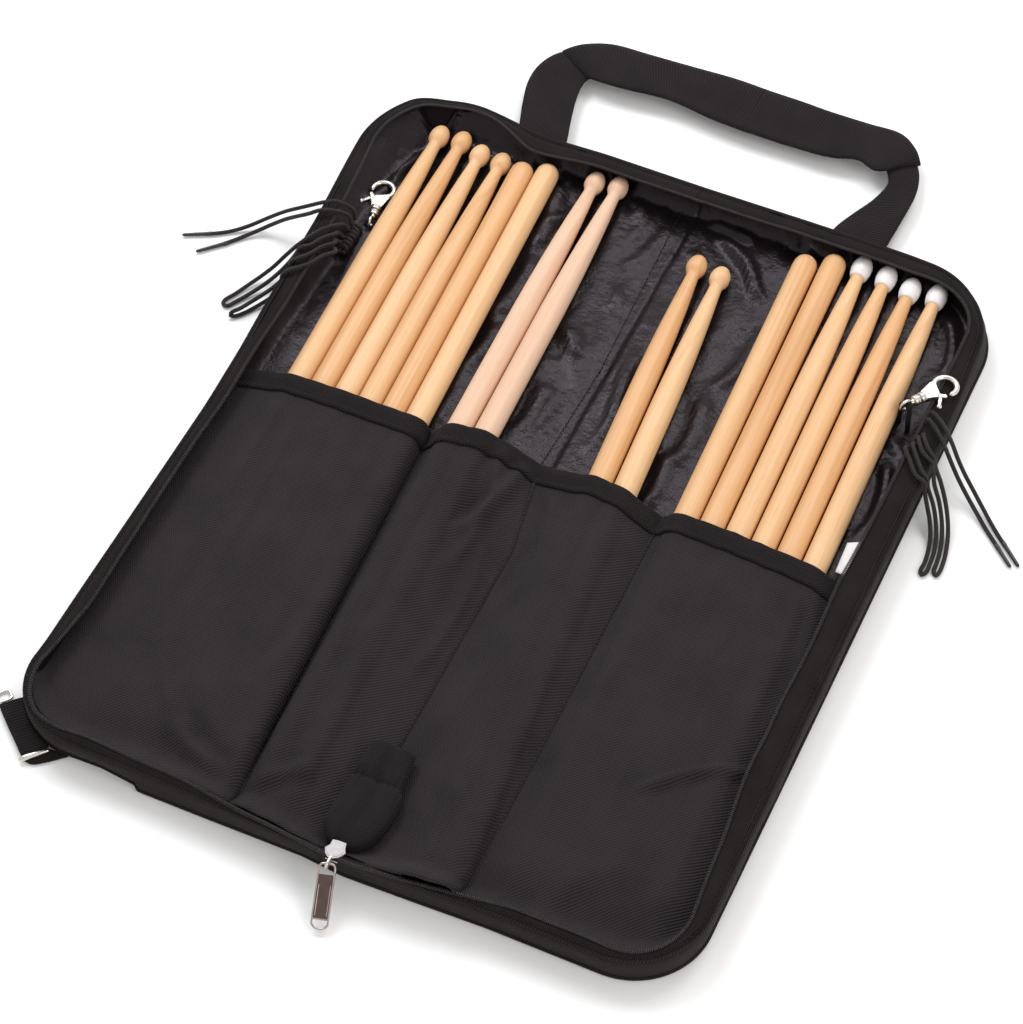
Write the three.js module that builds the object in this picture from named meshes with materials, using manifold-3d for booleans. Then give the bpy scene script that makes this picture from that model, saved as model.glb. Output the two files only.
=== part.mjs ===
// A zip-around drum stick bag, lying open and flat on its back, with the sticks it carries.
// Millimetres. X runs across the open bag, Y from the zip pull towards the handle, Z up.
// The origin is the middle of the spine's outer face, which lies on the table.

import * as THREE from "three";
import { mergeVertices } from "three/addons/utils/BufferGeometryUtils.js";
import Module from "manifold-3d";

const wasm = await Module();
wasm.setup();

// ---------------------------------------------------------------- driving dimensions

const GAP = 0.3; // clearance between pieces that touch

const HALF_WIDTH = 174; // spine centre to the side wall's outer face
const HALF_LENGTH = 225; // bag centre to the end walls' outer faces
const HINGE_X = 20; // each half folds about a line this far from the spine's centre
const TOP_RADIUS = 45; // plan radius of the two corners at the handle end
const BOTTOM_RADIUS = 28; // plan radius of the two corners at the zip pull end

const SPINE_THICK = 1.8;
const SHELL_THICK = 2.4; // outer fabric and foam of a half
const LINING_BASE = SHELL_THICK + GAP;
const LINING_TOP = LINING_BASE + 0.7;
const WALL_THICK = 3;
const WALL_TOP = 16.8;
const WALL_START_X = 43.3; // the walls of the halves stop here, and soft end gussets cross the spine
const TAPE_BASE = WALL_TOP + GAP;
const TAPE_TOP = TAPE_BASE + 0.8;
const COIL_TOP = 19.7; // two coils meet in the middle of the closed bag, 20 above each shell
const TAPE_INSET = [0.5, 4.5];
const COIL_INSET = [2, 4.5];

const MOUTH_Y = 20; // upper edge of the pocket panels
const POCKET_TOP = 18.2;
const POCKET_THICK = 0.9;
const SEAM_LEFT = [-64.2, -50.6]; // stitched seam between pockets 1 and 2: x at its top, x at its bottom
const SEAM_RIGHT = [64.2, 66]; // stitched seam between pockets 3 and 4
const POCKET_HINGE_GAP = 2.3; // pockets 2 and 3 stop this far from the fold line

const STICK_RADIUS = 6.5;
const STICK_LENGTH = 394;
const BEAD_RADIUS = 5.4;
const STICK_Z = LINING_TOP + GAP + STICK_RADIUS;

const STRAP_THICK = 1.8;
const STRAP_Z = 7;

const SLIDER_X = 6.5;
const SLIDER_Y = -226.6;

const LACE_RADIUS = 1.1;
const LACE_SIDES = 8;

// ---------------------------------------------------------------- materials

function finish(color, roughness, metalness = 0) {
  return new THREE.MeshStandardMaterial({ color, roughness, metalness });
}

const fabric = finish(0x1b1719, 0.9);
const satin = finish(0x1c1a20, 0.45);
const twill = finish(0x262024, 0.85);
const webbing = finish(0x1a1617, 0.8);
const nylon = finish(0x151315, 0.5);
const chrome = finish(0xc8c6c4, 0.2, 1);
const lace = finish(0x171416, 0.6);
const maple = finish(0xe4bd8a, 0.5);
const paleWood = finish(0xe2c4aa, 0.55);

// ---------------------------------------------------------------- solids

const bag = new THREE.Group();
bag.name = "drum_stick_bag";

// A manifold-3d solid of a geometry, after an optional matrix.
function solid(geometry, matrix) {
  const bare = geometry.index ? geometry.toNonIndexed() : geometry.clone();
  bare.deleteAttribute("normal");
  bare.deleteAttribute("uv");
  if (matrix) bare.applyMatrix4(matrix);
  const merged = mergeVertices(bare, 1e-4);
  return new wasm.Manifold(
    new wasm.Mesh({
      numProp: 3,
      vertProperties: merged.attributes.position.array,
      triVerts: new Uint32Array(merged.index.array),
    }),
  );
}

function geometryOf(made) {
  const mesh = made.getMesh();
  const geometry = new THREE.BufferGeometry();
  geometry.setAttribute("position", new THREE.BufferAttribute(mesh.vertProperties, 3));
  geometry.setIndex(new THREE.BufferAttribute(mesh.triVerts, 1));
  return geometry.toNonIndexed();
}

function addNode(name, made, material, parent = bag) {
  const mesh = new THREE.Mesh(geometryOf(made), material);
  mesh.geometry.computeVertexNormals();
  mesh.name = name;
  parent.add(mesh);
  return mesh;
}

function joined(...solids) {
  return solids.reduce((a, b) => a.add(b));
}

function block([x0, x1], [y0, y1], [z0, z1]) {
  const box = new THREE.BoxGeometry(x1 - x0, y1 - y0, z1 - z0);
  box.translate((x0 + x1) / 2, (y0 + y1) / 2, (z0 + z1) / 2);
  return solid(box);
}

// A plan outline, given as points, made solid between two heights.
function slab(points, z0, z1) {
  const shape = new THREE.Shape(points.map(([x, y]) => new THREE.Vector2(x, y)));
  const body = new THREE.ExtrudeGeometry(shape, { depth: z1 - z0, bevelEnabled: false });
  body.translate(0, 0, z0);
  return solid(body);
}

// A cylinder along Y or X between two coordinates of that axis.
function rod(axis, from, to, radius, centre, sides = 16) {
  const body = new THREE.CylinderGeometry(radius, radius, to - from, sides);
  if (axis === "x") body.rotateZ(-Math.PI / 2);
  if (axis === "z") body.rotateX(Math.PI / 2);
  const middle = (from + to) / 2;
  const [a, b] = centre;
  if (axis === "x") body.translate(middle, a, b);
  if (axis === "y") body.translate(a, middle, b);
  if (axis === "z") body.translate(a, b, middle);
  return solid(body);
}

// ---------------------------------------------------------------- plan of the bag

// Points round one half from its bottom edge at startX to its top edge at startX, pulled in by inset.
// side is -1 for the left half and 1 for the right half.
function halfOutline(side, startX, inset) {
  const x = HALF_WIDTH - inset;
  const y = HALF_LENGTH - inset;
  const arc = (cx, cy, radius, from) => {
    const steps = 8;
    return Array.from({ length: steps + 1 }, (_, i) => {
      const angle = from + ((Math.PI / 2) * i) / steps;
      return [side * (cx + radius * Math.cos(angle)), cy + radius * Math.sin(angle)];
    });
  };
  const low = Math.max(BOTTOM_RADIUS - inset, 1);
  const high = Math.max(TOP_RADIUS - inset, 1);
  return [
    [side * startX, -y],
    ...arc(x - low, -y + low, low, -Math.PI / 2),
    ...arc(x - high, y - high, high, 0),
    [side * startX, y],
  ];
}

function halfSlab(side, startX, inset, z0, z1) {
  return slab(halfOutline(side, startX, inset), z0, z1);
}

// A strip that follows the outline between two insets.
function rim(side, startX, [outer, inner], z0, z1) {
  return slab(
    [...halfOutline(side, startX, outer), ...halfOutline(side, startX, inner).reverse()],
    z0,
    z1,
  );
}

// ---------------------------------------------------------------- spine, shells, linings, walls

// The spine strip's long edges are cut at 45 degrees, so that the folded halves close against it.
function makeSpine() {
  const edge = HINGE_X - GAP;
  const profile = [
    [-edge, 0],
    [edge, 0],
    [edge - SPINE_THICK, SPINE_THICK],
    [-edge + SPINE_THICK, SPINE_THICK],
  ];
  const strip = slab(profile, -HALF_LENGTH, HALF_LENGTH);
  addNode("spine_panel", strip.transform(uprightToY()), fabric);
}

// The matrix that stands a slab up, so that its plan's second axis points up and its height runs along Y.
function uprightToY() {
  return new THREE.Matrix4().makeRotationX(Math.PI / 2).elements;
}

// A wedge that cuts the shell's inner long edge at 45 degrees.
function hingeBevel(side) {
  const from = HINGE_X + GAP;
  const wedge = slab(
    [
      [side * (from - 2), -2],
      [side * (from - 2), SHELL_THICK + 2],
      [side * (from + SHELL_THICK + 2), SHELL_THICK + 2],
    ],
    -HALF_LENGTH - 5,
    HALF_LENGTH + 5,
  );
  return wedge.transform(uprightToY());
}

// The shoulder strap passes under the corner of the left shell in this shallow channel.
const STRAP_CHANNEL = [[-185, -200], [-160, -203], [-126, -208], [-126, -230], [-185, -230]];
const CHANNEL_TOP = 1.9;

function makeShell(name, side) {
  const shell = halfSlab(side, HINGE_X + GAP, 0, 0, SHELL_THICK).subtract(hingeBevel(side));
  const cut = side < 0 ? shell.subtract(slab(STRAP_CHANNEL, -1, CHANNEL_TOP)) : shell;
  addNode(name, cut, fabric);
}

const HOOKS = {
  left: { eye: [-156, 136.5, 7.8], turn: 10, mirror: -1 },
  right: { eye: [150.2, 123.3, 21.9], turn: -35, mirror: 1 }, // lies over the zip
};

// The loop of tape that holds a snap hook: two legs and a crossbar that the hook's eye hangs on.
function hookTab(hook) {
  const leg = (x) => block([x - 0.8, x + 0.8], [-1.3, 1.3], [LINING_TOP - 0.2 - hook.eye[2], 1.3]);
  const bar = rod("x", -3.2, 3.2, 1.2, [0, 0], 10);
  return joined(leg(-2.4), leg(2.4), bar).transform(hookMatrix(hook).elements);
}

function hookMatrix({ eye, turn, mirror }) {
  const place = new THREE.Matrix4().makeTranslation(...eye);
  place.multiply(new THREE.Matrix4().makeRotationZ((turn * Math.PI) / 180));
  return place.multiply(new THREE.Matrix4().makeScale(mirror, 1, 1));
}

function makeLining(name, side, hook) {
  const start = HINGE_X + POCKET_HINGE_GAP + SHELL_THICK;
  const sheet = halfSlab(side, start, WALL_THICK + GAP, LINING_BASE, LINING_TOP);
  addNode(name, sheet.add(hookTab(hook)), satin);
}

function makeWall(name, side) {
  addNode(name, rim(side, WALL_START_X, [0, WALL_THICK], LINING_BASE, WALL_TOP), fabric);
}

function makeZip(name, side) {
  const tape = rim(side, WALL_START_X, TAPE_INSET, TAPE_BASE, TAPE_TOP);
  const coil = rim(side, WALL_START_X, COIL_INSET, TAPE_TOP - 0.1, COIL_TOP);
  addNode(name, tape.add(coil), nylon);
}

// The soft wall and zip that cross an end of the spine. The bottom one is open where the slider sits.
function endGusset(end) {
  const reach = WALL_START_X - GAP;
  const across = (inset, x, z) => {
    const ys = inset.map((d) => end * (HALF_LENGTH - d)).sort((a, b) => a - b);
    return block(x, ys, z);
  };
  const wall = across([0, WALL_THICK], [-reach, reach], [LINING_BASE, WALL_TOP]);
  const tape = across(TAPE_INSET, [-reach, reach], [WALL_TOP - 0.1, TAPE_TOP]);
  const coil = across(COIL_INSET, [-reach, reach], [TAPE_TOP - 0.1, COIL_TOP]);
  const gusset = joined(wall, tape, coil);
  if (end > 0) return gusset;
  const notch = [SLIDER_X - 7.5, SLIDER_X + 7.5];
  return gusset.subtract(block(notch, [-HALF_LENGTH - 1, -HALF_LENGTH + 6], [WALL_TOP, COIL_TOP + 1]));
}

// ---------------------------------------------------------------- pockets

// A four-sided plan area from the pocket mouth, or a little beyond it, down to the bag's lower end.
// left and right each give an edge's x at the mouth and at the bottom.
function pocketPlan(left, right, beyond = 0) {
  const top = MOUTH_Y + beyond;
  return [[left[0], top], [left[1], -HALF_LENGTH], [right[1], -HALF_LENGTH], [right[0], top]];
}

// A pocket is a fabric tunnel, open at its mouth: a top panel, a closed bottom and its seam flanges.
// openLeft and openRight leave out the flange of an edge that is only tacked down beside the fold.
function pocket(side, left, right, { openLeft = false, openRight = false } = {}) {
  const base = LINING_TOP + GAP;
  const inset = TAPE_INSET[1] + GAP;
  const move = (edge, by) => edge.map((x) => x + by);
  const body = halfSlab(side, HINGE_X, inset, base, POCKET_TOP).intersect(
    slab(pocketPlan(left, right), base, POCKET_TOP),
  );
  const inside = pocketPlan(
    move(left, openLeft ? -5 : POCKET_THICK), move(right, openRight ? 5 : -POCKET_THICK), 1,
  );
  const roof = POCKET_TOP - POCKET_THICK;
  const room = halfSlab(side, HINGE_X - 6, inset + POCKET_THICK, base - 1, roof);
  return body.subtract(room.intersect(slab(inside, base - 1, roof)));
}

// Pockets 2 and 3 are sewn down to the spine by this soft panel between them.
function centrePanel() {
  const half = HINGE_X - SPINE_THICK - GAP;
  const base = SPINE_THICK + GAP;
  return block([-half, half], [-HALF_LENGTH + 4, MOUTH_Y], [base, base + 1.2]);
}

// ---------------------------------------------------------------- zip slider, pull and tail

// A slider with a pointed crown plate on top, a base plate, a post between them and a bail for the pull.
function zipSlider() {
  const plateZ = [TAPE_BASE, TAPE_BASE + 0.9];
  const crownZ = [19.6, 20.9];
  const points = [];
  for (let i = 0; i < 14; i += 1) {
    const angle = (Math.PI * 2 * i) / 14;
    const radius = i % 2 ? 5.1 : 6.2;
    points.push([SLIDER_X + radius * Math.sin(angle), SLIDER_Y + radius * Math.cos(angle)]);
  }
  const base = block([SLIDER_X - 5, SLIDER_X + 5], [SLIDER_Y - 5.5, SLIDER_Y + 5], plateZ);
  const post = block([SLIDER_X - 1.5, SLIDER_X + 1.5], [SLIDER_Y - 2, SLIDER_Y + 4], [plateZ[0], 20]);
  const bailY = [SLIDER_Y - 8.4, SLIDER_Y - 5];
  const arm = (z) => block([SLIDER_X - 1.2, SLIDER_X + 1.2], bailY, z);
  const front = block([SLIDER_X - 1.2, SLIDER_X + 1.2], [SLIDER_Y - 9.4, SLIDER_Y - 8.2], [17.1, 20.6]);
  return joined(slab(points, ...crownZ), base, post, arm([17.1, 17.9]), arm([19.8, 20.6]), front);
}

const PULL_HINGE = [SLIDER_X, SLIDER_Y - 7, 18.85];
const PULL_DROP = 32; // degrees that the pull hangs below level
const PULL_TURN = 12; // degrees that it points towards +X

// The pull tab: a frame with a recessed panel, an eye that rides on the bail and a slot at the far end.
function zipPull() {
  const thick = 1.6;
  const tab = slab([[-4.3, -31.5], [4.3, -31.5], [4.5, -4], [3.4, 0.4], [-3.4, 0.4], [-4.5, -4]],
    -thick / 2, thick / 2);
  const eye = block([-2.4, 2.4], [-4.6, -0.4], [-3, 3]);
  const slot = block([-3.1, 3.1], [-30.3, -26.5], [-3, 3]);
  const recess = [0.35, -2.35].map((z) => block([-3.4, 3.4], [-25.5, -6], [z, z + 2]));
  const place = new THREE.Matrix4().makeTranslation(...PULL_HINGE);
  place.multiply(new THREE.Matrix4().makeRotationZ((PULL_TURN * Math.PI) / 180));
  place.multiply(new THREE.Matrix4().makeRotationX((PULL_DROP * Math.PI) / 180));
  return tab.subtract(eye).subtract(slot).subtract(recess[0]).subtract(recess[1])
    .transform(place.elements);
}

// The fabric-covered end of the closed zip, tucked inwards over the pockets.
function zipTail() {
  const shape = new THREE.Shape();
  shape.moveTo(1, -219);
  shape.bezierCurveTo(-9, -208, -9, -196, -6, -176);
  shape.bezierCurveTo(-5, -166, -2, -161, 4, -161);
  shape.lineTo(11, -162);
  shape.bezierCurveTo(18, -166, 19, -190, 17, -202);
  shape.bezierCurveTo(16, -210, 13, -216, 11, -219);
  const body = new THREE.ExtrudeGeometry(shape, {
    depth: 5, curveSegments: 6, bevelThickness: 2.5, bevelSize: 2, bevelOffset: -2, bevelSegments: 3,
  });
  body.translate(0, 0, 10.5);
  return solid(body);
}

// ---------------------------------------------------------------- handle

const HANDLE_OUTER = 314.5;
const HANDLE_INNER = 282.5;

function handleLeft() {
  return slab([
    [-113, HALF_LENGTH + GAP], [-84.5, HALF_LENGTH + GAP], [-93, 266], [-91, HANDLE_INNER],
    [-HINGE_X - GAP, HANDLE_INNER], [-HINGE_X - GAP, HANDLE_OUTER], [-92, HANDLE_OUTER - 1],
    [-106, 306.5], [-121, 289], [-123.5, 269],
  ], STRAP_Z, STRAP_Z + STRAP_THICK);
}

function handleRight() {
  return slab([
    [70.5, HALF_LENGTH + GAP], [100.5, HALF_LENGTH + GAP], [101.5, 276], [98.5, 291],
    [90, 306], [79, HANDLE_OUTER - 1], [HINGE_X + GAP, HANDLE_OUTER],
    [HINGE_X + GAP, HANDLE_INNER], [74, HANDLE_INNER], [80.5, 262],
  ], STRAP_Z, STRAP_Z + STRAP_THICK);
}

function handleMiddle() {
  return block([-HINGE_X, HINGE_X], [HANDLE_INNER, HANDLE_OUTER], [STRAP_Z, STRAP_Z + STRAP_THICK]);
}

// ---------------------------------------------------------------- snap hooks
// Drawn with the eye's centre at the origin and the hook along +Y, with its gate on the +X side.

const RING_Y = 24;
const RING_OUTER = 7;
const RING_INNER = 4.7;
const HOOK_HALF = 1.7; // half the thickness of the hook's flat body
const GATE_PIVOT = [3, 17];
const BARREL_END = 8;

function arcBand(from, to, inner, outer, steps) {
  const at = (radius, i) => {
    const angle = ((from + ((to - from) * i) / steps) * Math.PI) / 180;
    return [radius * Math.cos(angle), RING_Y + radius * Math.sin(angle)];
  };
  const indices = Array.from({ length: steps + 1 }, (_, i) => i);
  return [...indices.map((i) => at(outer, i)), ...indices.reverse().map((i) => at(inner, i))];
}

function hookSwivel() {
  const ring = rod("x", -1.2, 1.2, 3.7, [0, 0], 20).subtract(rod("x", -2, 2, 2.1, [0, 0], 16));
  const neck = rod("y", 3, 5.5, 1.6, [0, 0], 12);
  const barrel = rod("y", 4.6, BARREL_END, 2.9, [0, 0], 16);
  const stem = rod("y", BARREL_END - 0.5, 11.5, 1.2, [0, 0], 12);
  return joined(ring, neck, barrel, stem);
}

function hookBody() {
  const collar = rod("y", BARREL_END + GAP, 11, 3, [0, 0], 16);
  const plate = slab([[-2.6, 10], [2.6, 10], [3.4, 13], [4.6, 16.2], [2.6, 19.2], [-4.4, 21], [-5.4, 18]],
    -HOOK_HALF, HOOK_HALF);
  const jaw = slab(arcBand(-18, 250, RING_INNER, RING_OUTER, 22), -HOOK_HALF, HOOK_HALF);
  const ringHole = rod("z", -4, 4, RING_INNER, [0, RING_Y], 24);
  const bore = rod("y", 7, 12, 1.5, [0, 0], 12);
  const gateSlot = slab([[0.6, 14.8], [8, 14.8], [9, 21.6], [3, 21.6], [1.2, 19]], -0.9, 0.9);
  const pin = rod("z", -HOOK_HALF, HOOK_HALF, 0.7, GATE_PIVOT, 10);
  return joined(collar, plate, jaw).subtract(ringHole).subtract(bore).subtract(gateSlot).add(pin);
}

// The sprung gate closes the ring between the body and the jaw's nose, and its thumb nub stands out.
function hookGate() {
  const arm = slab([[1.6, 16], [3.4, 15.6], [5, 17.4], [6.3, 19.6], [6.5, 20.9], [4.9, 21.4],
    [4.0, 20.0], [1.6, 18.2]], -0.6, 0.6);
  const nub = slab([[4.2, 16.6], [9.2, 12.6], [10.4, 14.2], [5.6, 18.4]], -0.6, 0.6);
  const bore = rod("z", -2, 2, 1, GATE_PIVOT, 12);
  return arm.add(nub).subtract(bore);
}

// ---------------------------------------------------------------- laces

// Each lace is tied in a bow at a knot beside a hook. All of it hangs out over the side wall:
// two free ends, each with a sealed tip, and two loops that go out and come back to the knot.
const LACES = {
  left: {
    knot: [-160.6, 120.6, 7.8],
    end_1: [
      [-162, 130.6, 12.6], [-163.6, 132.4, 17.4], [-171.6, 130.1, 22.8], [-178.1, 126.7, 22.8],
      [-184.3, 122.6, 21.6], [-190.4, 120.3, 19], [-196.9, 119.3, 15], [-203.2, 118, 10.5],
      [-209.4, 115.4, 6.5], [-215.1, 111.9, 3.4], [-220.3, 107.8, 1.9], [-225.5, 103.7, 1.3],
      [-230.5, 100.3, 1.3], [-234.1, 98.3, 1.3],
    ],
    tip_1: [-246.5, 91.8],
    end_2: [
      [-162, 126.4, 12.6], [-163.8, 127.6, 17.4], [-170.5, 123.7, 22.6], [-177.2, 120.9, 22.6],
      [-182.6, 117.3, 21], [-189.2, 115.8, 17.5], [-196.1, 115.5, 12.5], [-202.6, 114.3, 7.5],
      [-208.5, 111.3, 3.8], [-213.5, 106.7, 2], [-218.1, 101.4, 1.3], [-223.1, 95.3, 1.3],
    ],
    tip_2: [-234.1, 84.1],
    loop_1: [
      [-162, 122.6, 12.6], [-163.6, 121, 17.2], [-164.9, 114.7, 22.6], [-170.1, 108.8, 22.6],
      [-174.4, 102.2, 21.5], [-178.9, 97.3, 18], [-183.6, 92.5, 13], [-188.5, 86.3, 7.5],
      [-193.4, 80.4, 3.6], [-197.8, 72.8, 1.8], [-201.1, 65.6, 1.3], [-203.6, 60.5, 1.3],
      [-203.6, 57.6, 1.3], [-201.1, 56.6, 1.3], [-197.9, 61.5, 1.3], [-193.9, 68.4, 1.8],
      [-189.3, 75.5, 3.6], [-184.5, 81.5, 7.5], [-179.9, 87.2, 13], [-176.8, 91.7, 18],
      [-175.6, 94.3, 20.8], [-171.4, 97, 21.6], [-167.3, 103.3, 22.6], [-162.7, 109.2, 22.2],
      [-164.2, 114.6, 17.4], [-162, 116.8, 12.6],
    ],
    loop_2: [
      [-162, 112.8, 12.6], [-163.6, 109.4, 17.4], [-159.9, 103.6, 22.2], [-164.5, 97.9, 22.6],
      [-168.5, 91.7, 21.6], [-172.3, 86.5, 21.6], [-175.6, 84.2, 20], [-176.8, 82, 13],
      [-180.5, 75.6, 8.5], [-184.6, 69.3, 6], [-188.9, 62.3, 4.6], [-192.6, 55.7, 4],
      [-195.4, 52.8, 3.2], [-196, 51.1, 2.2], [-194.1, 51.9, 1.3], [-190.4, 55.9, 1.3],
      [-186.3, 62.7, 1.6], [-182, 68.3, 3.6], [-177.3, 72, 8], [-175.6, 74.4, 20], [-173.3, 76.8, 21.6],
      [-169.2, 81.1, 21.6], [-165.1, 86, 21.6], [-161.2, 92.4, 22.6], [-156.9, 98.6, 21.8],
      [-164, 104.6, 17.4], [-162, 107.4, 12.6],
    ],
  },
  right: {
    knot: [160.2, 114.4, 7.8],
    end_1: [
      [161.2, 122.2, 12.6], [163.2, 121.6, 17.4], [163.5, 123.7, 22.4], [168.7, 120.6, 22.8],
      [174.2, 115.7, 22.4], [179.5, 110.2, 20.8], [184.5, 105.5, 17], [190.2, 101.5, 12],
      [196.5, 97.6, 7.2], [203.8, 91.9, 3.6], [211.3, 85.1, 1.6], [218.4, 78.4, 1.3],
      [221.4, 75.8, 1.3],
    ],
    tip_1: [231.7, 66.2],
    end_2: [
      [161.2, 118.4, 12.6], [163.2, 117.6, 17.4], [163.2, 119.1, 22.2], [167.9, 115.6, 22.6],
      [173, 110.7, 22.2], [175.6, 108.2, 20.8], [177.8, 105.8, 20.4], [182.7, 101.7, 16.4],
      [188.3, 97.8, 11.2], [194.8, 93.5, 6.4], [201.9, 88.2, 3], [209.4, 81.5, 1.5], [216.3, 75.2, 1.3],
      [218.8, 72.9, 1.3],
    ],
    tip_2: [228.2, 64.2],
    loop_1: [
      [161.2, 104.4, 12.6], [162.4, 102, 17.4], [159.4, 97.7, 21.6], [164.6, 89.9, 22.4],
      [170.1, 83.3, 21.6], [175.6, 81.1, 20.8], [176.8, 78.9, 17], [179.9, 75.3, 11.6],
      [183.4, 70.8, 6.8], [186.3, 64.8, 3.4], [188.1, 57.6, 1.6], [189, 49.9, 1.3], [188.9, 44, 1.3],
      [190.1, 41.9, 1.3], [191.6, 44.1, 1.3], [191.6, 50.6, 1.3], [190.9, 58.3, 1.6], [188.9, 66, 3.4],
      [185.9, 72.5, 6.8], [182.2, 77.5, 11.6], [177.3, 82, 17], [175.6, 84.2, 20.8],
      [172.2, 86.5, 21.6], [166.9, 93.2, 22.4], [162.1, 101.2, 21.6], [163.6, 105.8, 17.2],
      [162.2, 108, 12.6],
    ],
    loop_2: [
      [161.2, 111.4, 12.6], [162.8, 109.6, 17.4], [163.1, 106, 21.8], [168.6, 97.3, 22.6],
      [175.6, 93.8, 20.8], [176.8, 90.3, 21], [179.5, 85.3, 17], [184.1, 80.7, 11.6],
      [188.4, 74.2, 6.8], [191.5, 67.2, 3.4], [193.4, 60, 1.6], [194.4, 52.3, 1.3], [194.9, 46.3, 1.3],
      [196.5, 44.2, 1.3], [197.5, 46.6, 1.3], [197.4, 53.1, 1.3], [196.1, 61.2, 1.6], [194, 68.9, 3.4],
      [190.9, 75.9, 6.8], [186.7, 82.4, 11.6], [181.9, 87.8, 17], [176.8, 93, 21], [175.6, 96.7, 20.8],
      [170.4, 100.4, 22.6], [164.8, 108.5, 21.8], [164, 112.6, 17.2], [162.4, 114.6, 12.6],
    ],
  },
};

function tube(points, radius, steps) {
  const route = new THREE.CatmullRomCurve3(
    points.map((p) => new THREE.Vector3(...p)), false, "centripetal",
  );
  const section = new THREE.Shape(
    Array.from({ length: LACE_SIDES }, (_, i) => {
      const angle = (Math.PI * 2 * (i + 0.5)) / LACE_SIDES;
      return new THREE.Vector2(radius * Math.cos(angle), radius * Math.sin(angle));
    }),
  );
  return solid(new THREE.ExtrudeGeometry(section, { steps, extrudePath: route, bevelEnabled: false }));
}

function routeLength(points) {
  return points.slice(1).reduce((sum, p, i) => {
    const q = points[i];
    return sum + Math.hypot(p[0] - q[0], p[1] - q[1], p[2] - q[2]);
  }, 0);
}

function knotBody([x, y, z]) {
  const ball = new THREE.SphereGeometry(1, 14, 8);
  ball.scale(3.9, 11.5, 3.9);
  ball.translate(x, y, z);
  return solid(ball);
}

// The sealed end of a lace, a thin rigid sleeve lying on the table beyond the lace's last point.
function laceTip(points, [x, y]) {
  const [ax, ay, az] = points[points.length - 1];
  const span = Math.hypot(x - ax, y - ay);
  const sleeve = new THREE.CylinderGeometry(1, 1.2, span - GAP, 10);
  sleeve.translate(0, (span + GAP) / 2, 0);
  const place = new THREE.Matrix4().makeTranslation(ax, ay, az);
  place.multiply(new THREE.Matrix4().makeRotationZ(Math.atan2(y - ay, x - ax) - Math.PI / 2));
  return solid(sleeve, place);
}

function makeLace(side, route) {
  addNode(`${side}_lace_knot`, knotBody(route.knot), lace);
  for (const strand of ["end_1", "end_2", "loop_1", "loop_2"]) {
    const steps = Math.round(routeLength(route[strand]) / (LACE_RADIUS * 4.6));
    addNode(`${side}_lace_${strand}`, tube(route[strand], LACE_RADIUS, steps), lace);
  }
  for (const number of [1, 2]) {
    const sleeve = laceTip(route[`end_${number}`], route[`tip_${number}`]);
    addNode(`${side}_lace_tip_${number}`, sleeve, nylon);
  }
}

// ---------------------------------------------------------------- drum sticks

// Half-profile of a stick as [distance from the butt, radius]; the last 17 mm is the bead.
const STICK_PROFILE = [
  [0, 0], [0.3, 3], [1.6, 5], [4, 6.2], [8, STICK_RADIUS], [290, STICK_RADIUS], [325, 5.9],
  [355, 4.7], [377, 3.4], [380, 3.5], [382.5, 4.7], [385.5, BEAD_RADIUS], [389, 5.1],
  [392, 3.7], [393.6, 1.8], [STICK_LENGTH, 0],
];

// mouth is the x of a stick's axis at the pocket mouth, lean is how far it moves to -X for each
// millimetre towards the handle, and top is the y of its upper end. butt is true for a stick that
// stands with its butt end out of the pocket.
const STICKS = [
  { pocket: 1, mouth: -139.4, lean: 0.0512, top: 214.5 },
  { pocket: 1, mouth: -126.1, lean: 0.053, top: 215.5 },
  { pocket: 1, mouth: -112.8, lean: 0.0547, top: 210.5 },
  { pocket: 1, mouth: -99.4, lean: 0.0572, top: 209.5 },
  { pocket: 1, mouth: -86.1, lean: 0.0585, top: 206, butt: true },
  { pocket: 1, mouth: -72.8, lean: 0.059, top: 210.5, butt: true },
  { pocket: 2, mouth: -50.9, lean: 0.036, top: 217.5, pale: true },
  { pocket: 2, mouth: -37.1, lean: 0.0408, top: 219.5, pale: true },
  { pocket: 3, mouth: 27.2, lean: 0.0755, top: 184 },
  { pocket: 3, mouth: 41.0, lean: 0.0743, top: 181.5 },
  { pocket: 4, mouth: 74.6, lean: 0.043, top: 206, butt: true },
  { pocket: 4, mouth: 88.2, lean: 0.0405, top: 212.5, butt: true },
  { pocket: 4, mouth: 101.9, lean: 0.0375, top: 219.5 },
  { pocket: 4, mouth: 115.6, lean: 0.035, top: 218.5 },
  { pocket: 4, mouth: 129.3, lean: 0.0325, top: 215.5 },
  { pocket: 4, mouth: 143.0, lean: 0.03, top: 217 },
];

function stick({ mouth, lean, top, butt }) {
  const points = STICK_PROFILE.map(([y, r]) => new THREE.Vector2(r, y));
  const body = new THREE.LatheGeometry(points, 12);
  if (butt) {
    body.rotateX(Math.PI);
  } else {
    body.translate(0, -STICK_LENGTH, 0);
  }
  const place = new THREE.Matrix4().makeTranslation(mouth - lean * (top - MOUTH_Y), top, STICK_Z);
  place.multiply(new THREE.Matrix4().makeRotationZ(Math.atan(lean)));
  return solid(body, place);
}

function makeSticks() {
  const count = {};
  for (const spec of STICKS) {
    count[spec.pocket] = (count[spec.pocket] ?? 0) + 1;
    const name = `pocket_${spec.pocket}_stick_${count[spec.pocket]}`;
    addNode(name, stick(spec), spec.pale ? paleWood : maple);
  }
}

// ---------------------------------------------------------------- shoulder strap

// The end of the shoulder strap comes out from under the bag's corner and carries a wire ring.
const STRAP_END = [[-180, -211.5], [-174.6, -205.4]];
const STRAP_PLAN = [...STRAP_END, [-147, -220], [-134, -212], [-129, -221], [-152.5, -233.5]];
const WIRE_RADIUS = 0.8;

function strapWebbing() {
  return slab(STRAP_PLAN, 0.2, 1.6);
}

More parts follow.
